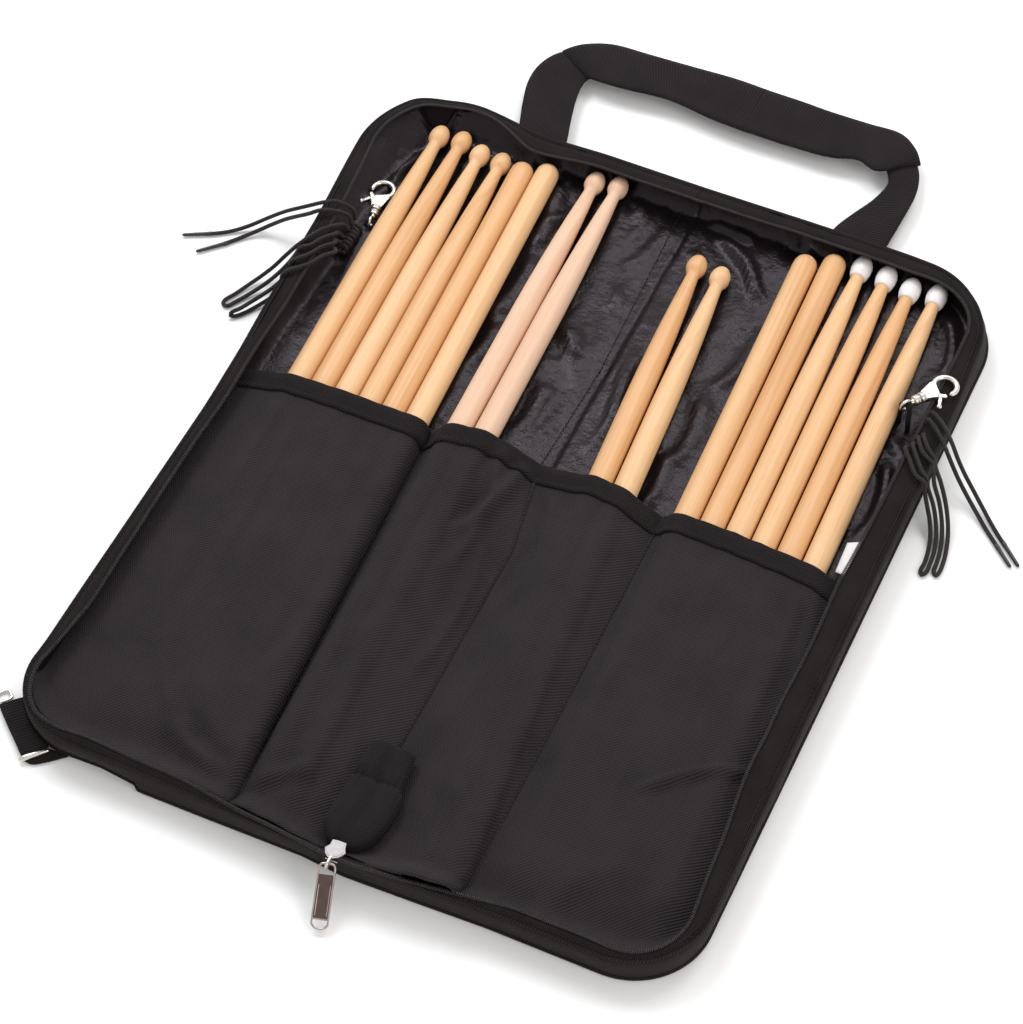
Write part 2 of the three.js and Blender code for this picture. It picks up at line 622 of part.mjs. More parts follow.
// A rectangular ring of thin wire lying flat, hinged along the strap's end.
function strapRing() {
  const [a, b] = STRAP_END.map(([x, y]) => new THREE.Vector3(x, y, WIRE_RADIUS + 0.2));
  const along = b.clone().sub(a).normalize();
  const away = new THREE.Vector3(-along.y, along.x, 0);
  const corner = (end, across, out) => end.clone().addScaledVector(along, across).addScaledVector(away, out);
  const corners = [corner(a, 0.8, 1.5), corner(b, -0.8, 1.5), corner(b, -0.8, 7), corner(a, 0.8, 7)];
  const bars = corners.map((from, i) => {
    const to = corners[(i + 1) % 4];
    const wire = new THREE.CylinderGeometry(WIRE_RADIUS, WIRE_RADIUS, from.distanceTo(to), 8);
    const turn = new THREE.Quaternion().setFromUnitVectors(
      new THREE.Vector3(0, 1, 0), to.clone().sub(from).normalize(),
    );
    const middle = from.clone().add(to).multiplyScalar(0.5);
    return solid(wire, new THREE.Matrix4().compose(middle, turn, new THREE.Vector3(1, 1, 1)));
  });
  const balls = corners.map((at) => {
    const ball = new THREE.SphereGeometry(WIRE_RADIUS, 8, 6);
    return solid(ball, new THREE.Matrix4().makeTranslation(at.x, at.y, at.z));
  });
  return joined(...bars, ...balls);
}

// ---------------------------------------------------------------- the bag

makeSpine();
makeShell("left_shell", -1);
makeShell("right_shell", 1);
makeLining("left_lining", -1, HOOKS.left);
makeLining("right_lining", 1, HOOKS.right);
makeWall("left_gusset", -1);
makeWall("right_gusset", 1);
makeZip("left_zip", -1);
makeZip("right_zip", 1);
addNode("bottom_gusset", endGusset(-1), fabric);
addNode("top_gusset", endGusset(1), fabric);

const sideEdge = HALF_WIDTH - WALL_THICK;
const foldEdge = HINGE_X + POCKET_HINGE_GAP;
const beside = (seam, by) => seam.map((x) => x + by);
addNode("pocket_1", pocket(-1, [-sideEdge, -sideEdge], beside(SEAM_LEFT, -GAP / 2)), twill);
addNode("pocket_2", pocket(-1, beside(SEAM_LEFT, GAP / 2), [-foldEdge, -foldEdge], { openRight: true }),
  twill);
addNode("pocket_3", pocket(1, [foldEdge, foldEdge], beside(SEAM_RIGHT, -GAP / 2), { openLeft: true }),
  twill);
addNode("pocket_4", pocket(1, beside(SEAM_RIGHT, GAP / 2), [sideEdge, sideEdge]), twill);
addNode("centre_pocket_panel", centrePanel(), twill);

addNode("zip_slider", zipSlider(), chrome);
addNode("zip_pull", zipPull(), chrome);
addNode("zip_tail", zipTail(), twill);

addNode("handle_left", handleLeft(), webbing);
addNode("handle_middle", handleMiddle(), webbing);
addNode("handle_right", handleRight(), webbing);

for (const [side, hook] of Object.entries(HOOKS)) {
  const place = hookMatrix(hook).elements;
  addNode(`${side}_hook_swivel`, hookSwivel().transform(place), chrome);
  addNode(`${side}_hook_body`, hookBody().transform(place), chrome);
  addNode(`${side}_hook_gate`, hookGate().transform(place), chrome);
  makeLace(side, LACES[side]);
}

makeSticks();
addNode("strap_webbing", strapWebbing(), webbing);
addNode("strap_ring", strapRing(), chrome);

export default bag;
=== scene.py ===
import math

import bmesh
import bpy
import numpy as np
from mathutils import Matrix, Vector, noise


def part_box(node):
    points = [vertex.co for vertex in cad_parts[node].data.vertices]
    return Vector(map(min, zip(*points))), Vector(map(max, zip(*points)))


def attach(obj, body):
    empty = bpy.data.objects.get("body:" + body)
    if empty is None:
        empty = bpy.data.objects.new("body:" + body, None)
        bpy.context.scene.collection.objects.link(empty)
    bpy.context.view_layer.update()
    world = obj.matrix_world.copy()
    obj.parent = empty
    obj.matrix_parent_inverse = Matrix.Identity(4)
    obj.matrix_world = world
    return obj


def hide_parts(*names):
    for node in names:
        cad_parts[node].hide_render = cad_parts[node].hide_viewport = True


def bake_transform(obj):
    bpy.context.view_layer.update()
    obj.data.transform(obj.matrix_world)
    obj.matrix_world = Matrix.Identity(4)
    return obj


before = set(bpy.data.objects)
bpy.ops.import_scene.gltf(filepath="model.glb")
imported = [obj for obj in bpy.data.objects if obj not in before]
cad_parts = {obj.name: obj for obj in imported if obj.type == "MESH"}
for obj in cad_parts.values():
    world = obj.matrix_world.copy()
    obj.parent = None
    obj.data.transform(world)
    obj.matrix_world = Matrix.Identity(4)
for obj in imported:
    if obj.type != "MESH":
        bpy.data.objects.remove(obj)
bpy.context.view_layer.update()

# A drum stick bag, open on its back, with the sticks it carries.
# Shapes are worked out in millimetres in the frame's axes and scaled once, as each mesh is made.
# X runs across the open bag, Y from the zip pull to the handle, Z up from the table.

MM = 0.001


def mm_box(node):
    low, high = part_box(node)
    return np.array(low) / MM, np.array(high) / MM


# ---------------------------------------------------------------- driving dimensions, mm

HALF_WIDTH = mm_box("right_shell")[1][0]
HALF_LENGTH = mm_box("right_shell")[1][1]
TOP_RADIUS = 45.0
BOTTOM_RADIUS = 38.0  # the lower corners have slumped rounder than the shell under them
FLOOR_Z = 3.3  # top of the lining where it lies flat
LINING_TOP = 17.3  # top of the lining where it has climbed the wall
LINING_INSET = 3.6  # from the wall's outer face to the lining's edge
COVE_REACH = 12.0  # the lining starts to climb this far inside the outline
CHAIN_Z = 20.0  # height of the zip's coil

STICK_RADIUS = 6.5
STICK_LENGTH = 394.0
STICK_Z = 10.2
PANEL_OVER = 1.0  # the pocket fabric's height above the sticks
MOUTH_Y = 20.0  # where the x of each stick and pocket seam is given

SEAM_LEFT = (-64.2, -50.6)  # x at the mouth and at the bottom, pockets 1 and 2
SEAM_RIGHT = (64.2, 66.0)  # pockets 3 and 4
SEAM_Z = 6.0
POCKET_FOOT = -221.5
POCKET_WALL_GAP = 5.6  # from the side wall's outer face to the outer pockets' edge
FOLD_DEPTH = 1.45  # scale of the folds in the pockets' cloth
FOOT_RISE = 8.5  # how far the pockets' cloth climbs the bottom wall
BINDING = 11.0  # visible width of the tape on the pocket mouths

HANDLE_Z = 8.6
LACE_WIDTH = 0.0022  # metres
TOOTH_PITCH = 1.0  # between turns of the zip's coil
CLOTH_SHINE = 0.12  # specular level of the matt cloths
SEED = Vector((3.7, 1.9, 8.3))  # where in the noise every ripple is taken from

# Lace routes, in metres: each lace is tied in a bow at a knot, with two ends and two loops.
LACES = {
    "left": {
        "knot": (-0.1606, 0.1206, 0.0078),
        "end_1": [
            (-0.162, 0.1306, 0.0126), (-0.1636, 0.1324, 0.0174), (-0.1716, 0.1301, 0.0228),
            (-0.1781, 0.1267, 0.0228), (-0.1843, 0.1226, 0.0216), (-0.1904, 0.1203, 0.019),
            (-0.1969, 0.1193, 0.015), (-0.2032, 0.118, 0.0105), (-0.2094, 0.1154, 0.0065),
            (-0.2151, 0.1119, 0.0034), (-0.2203, 0.1078, 0.0019), (-0.2255, 0.1037, 0.0013),
            (-0.2305, 0.1003, 0.0013), (-0.2341, 0.0983, 0.0013),
        ],
        "tip_1": (-0.2465, 0.0918),
        "end_2": [
            (-0.162, 0.1264, 0.0126), (-0.1638, 0.1276, 0.0174), (-0.1705, 0.1237, 0.0226),
            (-0.1772, 0.1209, 0.0226), (-0.1826, 0.1173, 0.021), (-0.1892, 0.1158, 0.0175),
            (-0.1961, 0.1155, 0.0125), (-0.2026, 0.1143, 0.0075), (-0.2085, 0.1113, 0.0038),
            (-0.2135, 0.1067, 0.002), (-0.2181, 0.1014, 0.0013), (-0.2231, 0.0953, 0.0013),
        ],
        "tip_2": (-0.2341, 0.0841),
        "loop_1": [
            (-0.162, 0.1226, 0.0126), (-0.1636, 0.121, 0.0172), (-0.1649, 0.1147, 0.0226),
            (-0.1701, 0.1088, 0.0226), (-0.1744, 0.1022, 0.0215), (-0.1789, 0.0973, 0.018),
            (-0.1836, 0.0925, 0.013), (-0.1885, 0.0863, 0.0075), (-0.1934, 0.0804, 0.0036),
            (-0.1978, 0.0728, 0.0018), (-0.2011, 0.0656, 0.0013), (-0.2036, 0.0605, 0.0013),
            (-0.2036, 0.0576, 0.0013), (-0.2011, 0.0566, 0.0013), (-0.1979, 0.0615, 0.0013),
            (-0.1939, 0.0684, 0.0018), (-0.1893, 0.0755, 0.0036), (-0.1845, 0.0815, 0.0075),
            (-0.1799, 0.0872, 0.013), (-0.1768, 0.0917, 0.018), (-0.1756, 0.0943, 0.0208),
            (-0.1714, 0.097, 0.0216), (-0.1673, 0.1033, 0.0226), (-0.1627, 0.1092, 0.0222),
            (-0.1642, 0.1146, 0.0174), (-0.162, 0.1168, 0.0126),
        ],
        "loop_2": [
            (-0.162, 0.1128, 0.0126), (-0.1636, 0.1094, 0.0174), (-0.1599, 0.1036, 0.0222),
            (-0.1645, 0.0979, 0.0226), (-0.1685, 0.0917, 0.0216), (-0.1723, 0.0865, 0.0216),
            (-0.1756, 0.0842, 0.02), (-0.1768, 0.082, 0.013), (-0.1805, 0.0756, 0.0085),
            (-0.1846, 0.0693, 0.006), (-0.1889, 0.0623, 0.0046), (-0.1926, 0.0557, 0.004),
            (-0.1954, 0.0528, 0.0032), (-0.196, 0.0511, 0.0022), (-0.1941, 0.0519, 0.0013),
            (-0.1904, 0.0559, 0.0013), (-0.1863, 0.0627, 0.0016), (-0.182, 0.0683, 0.0036),
            (-0.1773, 0.072, 0.008), (-0.1756, 0.0744, 0.02), (-0.1733, 0.0768, 0.0216),
            (-0.1692, 0.0811, 0.0216), (-0.1651, 0.086, 0.0216), (-0.1612, 0.0924, 0.0226),
            (-0.1569, 0.0986, 0.0218), (-0.164, 0.1046, 0.0174), (-0.162, 0.1074, 0.0126),
        ],
    },
    "right": {
        "knot": (0.1602, 0.1144, 0.0078),
        "end_1": [
            (0.1612, 0.1222, 0.0126), (0.1632, 0.1216, 0.0174), (0.1635, 0.1237, 0.0224),
            (0.1687, 0.1206, 0.0228), (0.1742, 0.1157, 0.0224), (0.1795, 0.1102, 0.0208),
            (0.1845, 0.1055, 0.017), (0.1902, 0.1015, 0.012), (0.1965, 0.0976, 0.0072),
            (0.2038, 0.0919, 0.0036), (0.2113, 0.0851, 0.0016), (0.2184, 0.0784, 0.0013),
            (0.2214, 0.0758, 0.0013),
        ],
        "tip_1": (0.2317, 0.0662),
        "end_2": [
            (0.1612, 0.1184, 0.0126), (0.1632, 0.1176, 0.0174), (0.1632, 0.1191, 0.0222),
            (0.1679, 0.1156, 0.0226), (0.173, 0.1107, 0.0222), (0.1756, 0.1082, 0.0208),
            (0.1778, 0.1058, 0.0204), (0.1827, 0.1017, 0.0164), (0.1883, 0.0978, 0.0112),
            (0.1948, 0.0935, 0.0064), (0.2019, 0.0882, 0.003), (0.2094, 0.0815, 0.0015),
            (0.2163, 0.0752, 0.0013), (0.2188, 0.0729, 0.0013),
        ],
        "tip_2": (0.2282, 0.0642),
        "loop_1": [
            (0.1612, 0.1044, 0.0126), (0.1624, 0.102, 0.0174), (0.1594, 0.0977, 0.0216),
            (0.1646, 0.0899, 0.0224), (0.1701, 0.0833, 0.0216), (0.1756, 0.0811, 0.0208),
            (0.1768, 0.0789, 0.017), (0.1799, 0.0753, 0.0116), (0.1834, 0.0708, 0.0068),
            (0.1863, 0.0648, 0.0034), (0.1881, 0.0576, 0.0016), (0.189, 0.0499, 0.0013),
            (0.1889, 0.044, 0.0013), (0.1901, 0.0419, 0.0013), (0.1916, 0.0441, 0.0013),
            (0.1916, 0.0506, 0.0013), (0.1909, 0.0583, 0.0016), (0.1889, 0.066, 0.0034),
            (0.1859, 0.0725, 0.0068), (0.1822, 0.0775, 0.0116), (0.1773, 0.082, 0.017),
            (0.1756, 0.0842, 0.0208), (0.1722, 0.0865, 0.0216), (0.1669, 0.0932, 0.0224),
            (0.1621, 0.1012, 0.0216), (0.1636, 0.1058, 0.0172), (0.1622, 0.108, 0.0126),
        ],
        "loop_2": [
            (0.1612, 0.1114, 0.0126), (0.1628, 0.1096, 0.0174), (0.1631, 0.106, 0.0218),
            (0.1686, 0.0973, 0.0226), (0.1756, 0.0938, 0.0208), (0.1768, 0.0903, 0.021),
            (0.1795, 0.0853, 0.017), (0.1841, 0.0807, 0.0116), (0.1884, 0.0742, 0.0068),
            (0.1915, 0.0672, 0.0034), (0.1934, 0.06, 0.0016), (0.1944, 0.0523, 0.0013),
            (0.1949, 0.0463, 0.0013), (0.1965, 0.0442, 0.0013), (0.1975, 0.0466, 0.0013),
            (0.1974, 0.0531, 0.0013), (0.1961, 0.0612, 0.0016), (0.194, 0.0689, 0.0034),
            (0.1909, 0.0759, 0.0068), (0.1867, 0.0824, 0.0116), (0.1819, 0.0878, 0.017),
            (0.1768, 0.093, 0.021), (0.1756, 0.0967, 0.0208), (0.1704, 0.1004, 0.0226),
            (0.1648, 0.1085, 0.0218), (0.164, 0.1126, 0.0172), (0.1624, 0.1146, 0.0126),
        ],
    },
}

# mouth is the stick axis' x at the pocket mouth, lean its drift to -X per mm towards the handle.
# kind is butt (thick end up), bead (wooden tip), nylon (white tip) or pale (unlacquered, wooden tip).
STICKS = {
    1: [
        (-139.4, 0.0512, 214.5, "bead"), (-126.1, 0.053, 215.5, "bead"),
        (-112.8, 0.0547, 210.5, "bead"), (-99.4, 0.0572, 209.5, "bead"),
        (-86.1, 0.0585, 206.0, "butt"), (-72.8, 0.059, 210.5, "butt"),
    ],
    2: [(-50.9, 0.036, 217.5, "pale"), (-37.1, 0.0408, 219.5, "pale")],
    3: [(27.2, 0.0755, 184.0, "bead"), (41.0, 0.0743, 181.5, "bead")],
    4: [
        (74.6, 0.043, 206.0, "butt"), (88.2, 0.0405, 212.5, "butt"),
        (101.9, 0.0375, 219.5, "nylon"), (115.6, 0.035, 218.5, "nylon"),
        (129.3, 0.0325, 215.5, "nylon"), (143.0, 0.03, 217.0, "nylon"),
    ],
}


def stick_x(stick, y):
    mouth, lean = stick[:2]
    return mouth - lean * (y - MOUTH_Y)


# ---------------------------------------------------------------- camera, light and floor

def add_camera():
    """The viewing angle: 25 degrees round to the right and 52 degrees up, level to half a degree."""
    azimuth, elevation, roll = math.radians(25.046), math.radians(52.129), math.radians(-0.428)
    target = Vector((-0.008355, -0.004788, 0.0))
    distance = 1.49467
    out = Vector((
        math.sin(azimuth) * math.cos(elevation),
        -math.cos(azimuth) * math.cos(elevation),
        math.sin(elevation),
    ))
    right = (-out).cross(Vector((0, 0, 1))).normalized()
    up = right.cross(-out)
    rolled_right = right * math.cos(roll) + up * math.sin(roll)
    rolled_up = up * math.cos(roll) - right * math.sin(roll)
    data = bpy.data.cameras.new("camera")
    data.lens = 105.95
    data.sensor_width = 36.0
    data.sensor_fit = "HORIZONTAL"
    data.clip_start = 0.05
    camera = bpy.data.objects.new("camera", data)
    turn = Matrix((rolled_right, rolled_up, out)).transposed().to_4x4()
    camera.matrix_world = Matrix.Translation(target + out * distance) @ turn
    bpy.context.scene.collection.objects.link(camera)
    bpy.context.scene.camera = camera


def add_area_light(name, place, size, power, tint=(1.0, 1.0, 1.0)):
    data = bpy.data.lights.new(name, "AREA")
    data.shape = "DISK"
    data.size = size
    data.energy = power
    data.color = tint
    light = bpy.data.objects.new(name, data)
    light.location = place
    light.rotation_euler = (-Vector(place)).to_track_quat("-Z", "Y").to_euler()
    bpy.context.scene.collection.objects.link(light)


def add_studio():
    world = bpy.data.worlds.new("studio")
    world.use_nodes = True
    background = world.node_tree.nodes["Background"]
    background.inputs["Color"].default_value = (1.0, 1.0, 1.0, 1.0)
    background.inputs["Strength"].default_value = 0.74
    bpy.context.scene.world = world
    bpy.context.scene.view_settings.view_transform = "Standard"
    add_area_light("key", (-1.05, 0.75, 1.5), 0.9, 16.0, (0.95, 0.96, 1.0))
    add_area_light("fill", (1.5, -0.5, 1.2), 0.9, 8.0, (1.0, 0.93, 0.86))
    add_area_light("top", (0.2, 1.3, 1.7), 0.9, 11.0)
    floor = grid_object(
        "studio_floor",
        [[(x, y, -0.15) for x in (-6000, 6000)] for y in (-6000, 6000)],
        floor_material(),
    )


# ---------------------------------------------------------------- material nodes

class Nodes:
    """A new material's node tree, with one short call for each kind of node."""

    def __init__(self, name, color, roughness, **values):
        self.material = bpy.data.materials.new(name)
        self.material.use_nodes = True
        self.tree = self.material.node_tree
        self.shader = self.tree.nodes["Principled BSDF"]
        self.shader.inputs["Base Color"].default_value = (*color, 1.0)
        self.shader.inputs["Roughness"].default_value = roughness
        for key, value in values.items():
            self.shader.inputs[key.replace("_", " ")].default_value = value

    def add(self, kind, **settings):
        node = self.tree.nodes.new(kind)
        for key, value in settings.items():
            setattr(node, key, value)
        return node

    def put(self, value, socket):
        if isinstance(value, bpy.types.NodeSocket):
            self.tree.links.new(value, socket)
        else:
            socket.default_value = value

    def math(self, operation, a, b=0.0, c=0.0):
        node = self.add("ShaderNodeMath", operation=operation)
        for value, socket in zip((a, b, c), node.inputs):
            self.put(value, socket)
        return node.outputs[0]

    def uv(self):
        """The piece's own cloth coordinates, in metres."""
        split = self.add("ShaderNodeSeparateXYZ")
        self.put(self.add("ShaderNodeUVMap", uv_map="UVMap").outputs[0], split.inputs[0])
        return split.outputs[0], split.outputs[1]

    def vector(self, x, y, z=0.0):
        join = self.add("ShaderNodeCombineXYZ")
        for value, socket in zip((x, y, z), join.inputs):
            self.put(value, socket)
        return join.outputs[0]

    def wave(self, value):
        """A smooth wave from 0 to 1 that repeats each time value grows by 1."""
        turned = self.math("MULTIPLY", value, 2 * math.pi)
        return self.math("MULTIPLY_ADD", self.math("SINE", turned), 0.5, 0.5)

    def noise(self, vector, scale, detail=2.0, roughness=0.5):
        node = self.add("ShaderNodeTexNoise")
        self.put(vector, node.inputs["Vector"])
        node.inputs["Scale"].default_value = scale
        node.inputs["Detail"].default_value = detail
        node.inputs["Roughness"].default_value = roughness
        return node.outputs["Fac"]

    def position(self):
        return self.add("ShaderNodeTexCoord").outputs["Object"]

    def ramp(self, value, *stops):
        node = self.add("ShaderNodeValToRGB")
        self.put(value, node.inputs[0])
        elements = node.color_ramp.elements
        while len(elements) < len(stops):
            elements.new(0.5)
        for element, (place, color) in zip(elements, stops):
            element.position = place
            element.color = (*color, 1.0)
        return node.outputs[0]

    def color(self, value):
        self.put(value, self.shader.inputs["Base Color"])

    def shade(self, value, color, low, high):
        """Colours the surface from a darker to a lighter cast of one colour. low, high: (value, factor)."""
        stops = [(place, scaled(color, factor)) for place, factor in (low, high)]
        self.color(self.ramp(value, *stops))

    def roughness(self, value, low, high):
        spread = self.math("MULTIPLY_ADD", value, high - low, low)
        self.put(spread, self.shader.inputs["Roughness"])

    def bump(self, height, distance, strength=1.0, under=None):
        node = self.add("ShaderNodeBump")
        node.inputs["Distance"].default_value = distance
        node.inputs["Strength"].default_value = strength
        self.put(height, node.inputs["Height"])
        if under is not None:
            self.put(under, node.inputs["Normal"])
        self.put(node.outputs[0], self.shader.inputs["Normal"])
        return node.outputs[0]


def scaled(color, factor):
    return tuple(min(1.0, part * factor) for part in color)


def twill_material(name, color, pitch, depth, roughness, turn=1.0, sheen=0.05):
    """Diagonal twill: ridges at 45 degrees, broken into floats of yarn, with uneven dyeing."""
    made = Nodes(
        name, color, roughness, Specular_IOR_Level=CLOTH_SHINE, Sheen_Weight=sheen, Sheen_Roughness=0.4,
    )
    u, v = made.uv()
    sloped = made.math("MULTIPLY_ADD", v, turn, u)
    line = made.wave(made.math("DIVIDE", sloped, pitch * math.sqrt(2)))
    across = made.math("MULTIPLY_ADD", v, -turn * 0.6, u)
    yarn = made.wave(made.math("DIVIDE", across, pitch * 0.9))
    height = made.math("MULTIPLY_ADD", yarn, 0.45, line)
    fuzz = made.noise(made.vector(u, v), 2600.0, 2.0)
    patch = made.noise(made.vector(u, v), 34.0, 3.0)
    height = made.math("MULTIPLY_ADD", fuzz, 0.6, height)
    made.bump(height, depth)
    tone = made.math("MULTIPLY_ADD", patch, 0.7, made.math("MULTIPLY", height, 0.3))
    made.shade(tone, color, (0.3, 0.55), (0.75, 1.6))
    made.roughness(patch, roughness - 0.08, roughness + 0.08)
    return made.material


def herringbone_material(name, color, rib, pitch, depth, roughness, sheen=0.04):
    """Tape woven in zigzag ribs: rib is the width of one slope, across the tape."""
    made = Nodes(
        name, color, roughness, Specular_IOR_Level=CLOTH_SHINE, Sheen_Weight=sheen, Sheen_Roughness=0.4,
    )
    u, v = made.uv()
    zigzag = made.math("PINGPONG", u, rib)
    line = made.wave(made.math("DIVIDE", made.math("ADD", v, zigzag), pitch))
    fuzz = made.noise(made.vector(u, v), 2300.0, 2.0)
    height = made.math("MULTIPLY_ADD", fuzz, 0.5, line)
    made.bump(height, depth)
    tone = made.math("MULTIPLY_ADD", made.noise(made.vector(u, v), 45.0, 3.0), 0.6,
                     made.math("MULTIPLY", height, 0.35))
    made.shade(tone, color, (0.3, 0.5), (0.8, 1.6))
    return made.material


def webbing_material():
    """Handle webbing: fine ribs straight across, with a softer lengthways thread."""
    color = (0.0125, 0.0094, 0.0100)
    made = Nodes(
        "handle_webbing", color, 0.78,
        Specular_IOR_Level=CLOTH_SHINE, Sheen_Weight=0.04, Sheen_Roughness=0.45,
    )
    u, v = made.uv()
    rib = made.wave(made.math("DIVIDE", v, 0.0016))
    thread = made.wave(made.math("DIVIDE", u, 0.0011))
    height = made.math("MULTIPLY_ADD", thread, 0.35, rib)
    height = made.math("MULTIPLY_ADD", made.noise(made.vector(u, v), 1800.0, 2.0), 0.5, height)
    made.bump(height, 0.00035)
    tone = made.math("MULTIPLY_ADD", made.noise(made.vector(u, v), 40.0, 3.0), 0.6,
                     made.math("MULTIPLY", height, 0.3))
    made.shade(tone, color, (0.3, 0.55), (0.8, 1.6))
    return made.material


def satin_material():
    """Thin shiny lining: fine crinkles over a smooth weave, with a purplish cast."""
    color = (0.0085, 0.0065, 0.0078)
    made = Nodes(
        "lining_satin", color, 0.36, Specular_IOR_Level=0.26, Specular_Tint=(1.0, 0.88, 0.95, 1.0),
        Sheen_Weight=0.03, Sheen_Roughness=0.3,
    )
    u, v = made.uv()
    here = made.vector(u, v)
    weave = made.wave(made.math("DIVIDE", u, 0.0006))
    crinkle = made.noise(here, 95.0, 4.0, 0.6)
    under = made.bump(crinkle, 0.0016, 0.8)
    made.bump(weave, 0.00003, 1.0, under)
    made.roughness(made.noise(here, 55.0, 3.0), 0.2, 0.36)
    made.shade(made.noise(here, 28.0, 2.0), color, (0.3, 0.7), (0.75, 1.5))
    return made.material


def wood_material(name, light, dark, roughness=0.42):
    """Straight-grained stick wood: long streaks, fine pores and a slow change of tone."""
    made = Nodes(name, light, roughness, Coat_Weight=0.12, Coat_Roughness=0.3)
    u, v = made.uv()

    def grain(across, along, detail, rough):
        """Noise drawn out along the stick."""
        stretched = made.vector(made.math("MULTIPLY", u, across), made.math("MULTIPLY", v, along))
        return made.noise(stretched, 1.0, detail, rough)

    streak = grain(420.0, 7.0, 4.0, 0.6)
    band = grain(90.0, 5.0, 2.0, 0.5)
    pore = grain(1700.0, 60.0, 1.0, 0.5)
    tone = made.math("MULTIPLY_ADD", streak, 0.55, made.math("MULTIPLY", band, 0.45))
    tone = made.math("MULTIPLY_ADD", made.math("GREATER_THAN", pore, 0.68), 0.12, tone)
    made.color(made.ramp(tone, (0.36, light), (0.52, scaled(light, 0.93)), (0.72, dark)))
    made.roughness(streak, roughness - 0.05, roughness + 0.12)
    made.bump(made.math("MULTIPLY_ADD", streak, 0.6, pore), 0.00008, 0.7)
    return made.material


def nylon_tip_material():
    made = Nodes(
        "nylon_tips", (0.86, 0.83, 0.82), 0.38,
        Subsurface_Weight=0.12, Subsurface_Radius=(0.002, 0.0015, 0.001),
    )
    scuff = made.noise(made.position(), 420.0, 3.0)
    made.color(made.ramp(scuff, (0.35, (0.88, 0.85, 0.85)), (0.75, (0.76, 0.71, 0.70))))
    made.roughness(scuff, 0.3, 0.5)
    made.bump(scuff, 0.0001, 0.4)
    return made.material


def zip_nylon_material():
    made = Nodes("zip_coil", (0.022, 0.019, 0.019), 0.34)
    dust = made.noise(made.position(), 900.0, 2.0)
    made.color(made.ramp(dust, (0.35, (0.016, 0.014, 0.014)), (0.8, (0.045, 0.04, 0.038))))
    made.roughness(dust, 0.28, 0.45)
    return made.material


def thread_material():
    """Sewing thread: matt, twisted and as dark as the cloth it is sewn into."""
    made = Nodes("sewing_thread", (0.013, 0.0105, 0.0105), 0.75, Specular_IOR_Level=0.2)
    twist = made.noise(made.position(), 2400.0, 2.0)
    made.color(made.ramp(twist, (0.3, (0.008, 0.0065, 0.0065)), (0.8, (0.022, 0.018, 0.018))))
    made.roughness(twist, 0.65, 0.85)
    made.bump(twist, 0.0001, 0.5)
    return made.material


def metal_material(name, color, roughness):
    """Plated die-cast metal: faint casting ripple, fine scratches and dull patches."""
    made = Nodes(name, color, roughness, Metallic=1.0)
    here = made.position()
    ripple = made.noise(here, 260.0, 3.0)
    scratch = made.noise(here, 2100.0, 2.0, 0.7)
    made.shade(ripple, color, (0.3, 0.82), (0.7, 1.0))
    made.roughness(scratch, roughness - 0.07, roughness + 0.12)
    made.bump(made.math("MULTIPLY_ADD", scratch, 0.25, ripple), 0.00018, 0.35)
    return made.material


def cast_material():
    """The slider's satin grey cast face, finely pitted."""
    made = Nodes("satin_cast", (0.56, 0.525, 0.54), 0.5, Specular_IOR_Level=0.3)
    pits = made.noise(made.position(), 1500.0, 3.0)
    made.color(made.ramp(pits, (0.35, (0.60, 0.565, 0.58)), (0.7, (0.50, 0.465, 0.48))))
    made.roughness(pits, 0.42, 0.6)
    made.bump(pits, 0.0001, 0.4)
    return made.material


def lace_material():
    """Round braided lace: two sets of yarns crossing on the slant."""
    color = (0.02, 0.0155, 0.015)
    made = Nodes(
        "braided_lace", color, 0.55, Specular_IOR_Level=0.25, Sheen_Weight=0.05, Sheen_Roughness=0.4,
    )
    u, v = made.uv()
    one = made.wave(made.math("DIVIDE", made.math("MULTIPLY_ADD", u, 1.4, v), 0.0022))
    two = made.wave(made.math("DIVIDE", made.math("MULTIPLY_ADD", u, -1.4, v), 0.0022))
    braid = made.math("MAXIMUM", one, two)
    made.bump(made.math("MULTIPLY_ADD", made.noise(made.vector(u, v), 2500.0), 0.3, braid), 0.0004)
    made.shade(braid, color, (0.4, 0.45), (0.95, 1.5))
    return made.material


def tip_material():
    made = Nodes("lace_tip", (0.018, 0.014, 0.014), 0.25)
    smear = made.noise(made.position(), 600.0, 2.0)
    made.color(made.ramp(smear, (0.3, (0.013, 0.011, 0.011)), (0.8, (0.035, 0.028, 0.027))))
    made.roughness(smear, 0.2, 0.36)
    made.bump(smear, 0.0001, 0.4)
    return made.material


def label_material():
    made = Nodes("care_label", (0.84, 0.83, 0.82), 0.6)
    u, v = made.uv()
    weave = made.wave(made.math("DIVIDE", made.math("ADD", u, v), 0.0006))
    made.color(made.ramp(made.noise(made.vector(u, v), 200.0), (0.3, (0.88, 0.87, 0.86)),
                         (0.8, (0.74, 0.73, 0.72))))
    made.bump(weave, 0.00005)
    return made.material


def floor_material():
    made = Nodes("pale_floor", (0.97, 0.97, 0.97), 0.7)
    tone = made.noise(made.position(), 1.5, 2.0)
    made.color(made.ramp(tone, (0.3, (0.96, 0.96, 0.96)), (0.8, (0.98, 0.98, 0.98))))
    return made.material


# ---------------------------------------------------------------- mesh making

def new_object(name, vertices, faces, uvs, material, smooth=True):
    """vertices in mm; uvs holds one list of (u, v), in mm, for each face."""
    data = bpy.data.meshes.new(name)
    data.from_pydata([tuple(np.asarray(p, float) * MM) for p in vertices], [], faces)
    layer = data.uv_layers.new(name="UVMap")
    flat = [part * MM for face in uvs for corner in face for part in corner]
    layer.data.foreach_set("uv", flat)
    data.materials.append(material)
    data.polygons.foreach_set("use_smooth", [smooth] * len(data.polygons))
    data.update()
    piece = bpy.data.objects.new(name, data)
    bpy.context.scene.collection.objects.link(piece)
    return piece


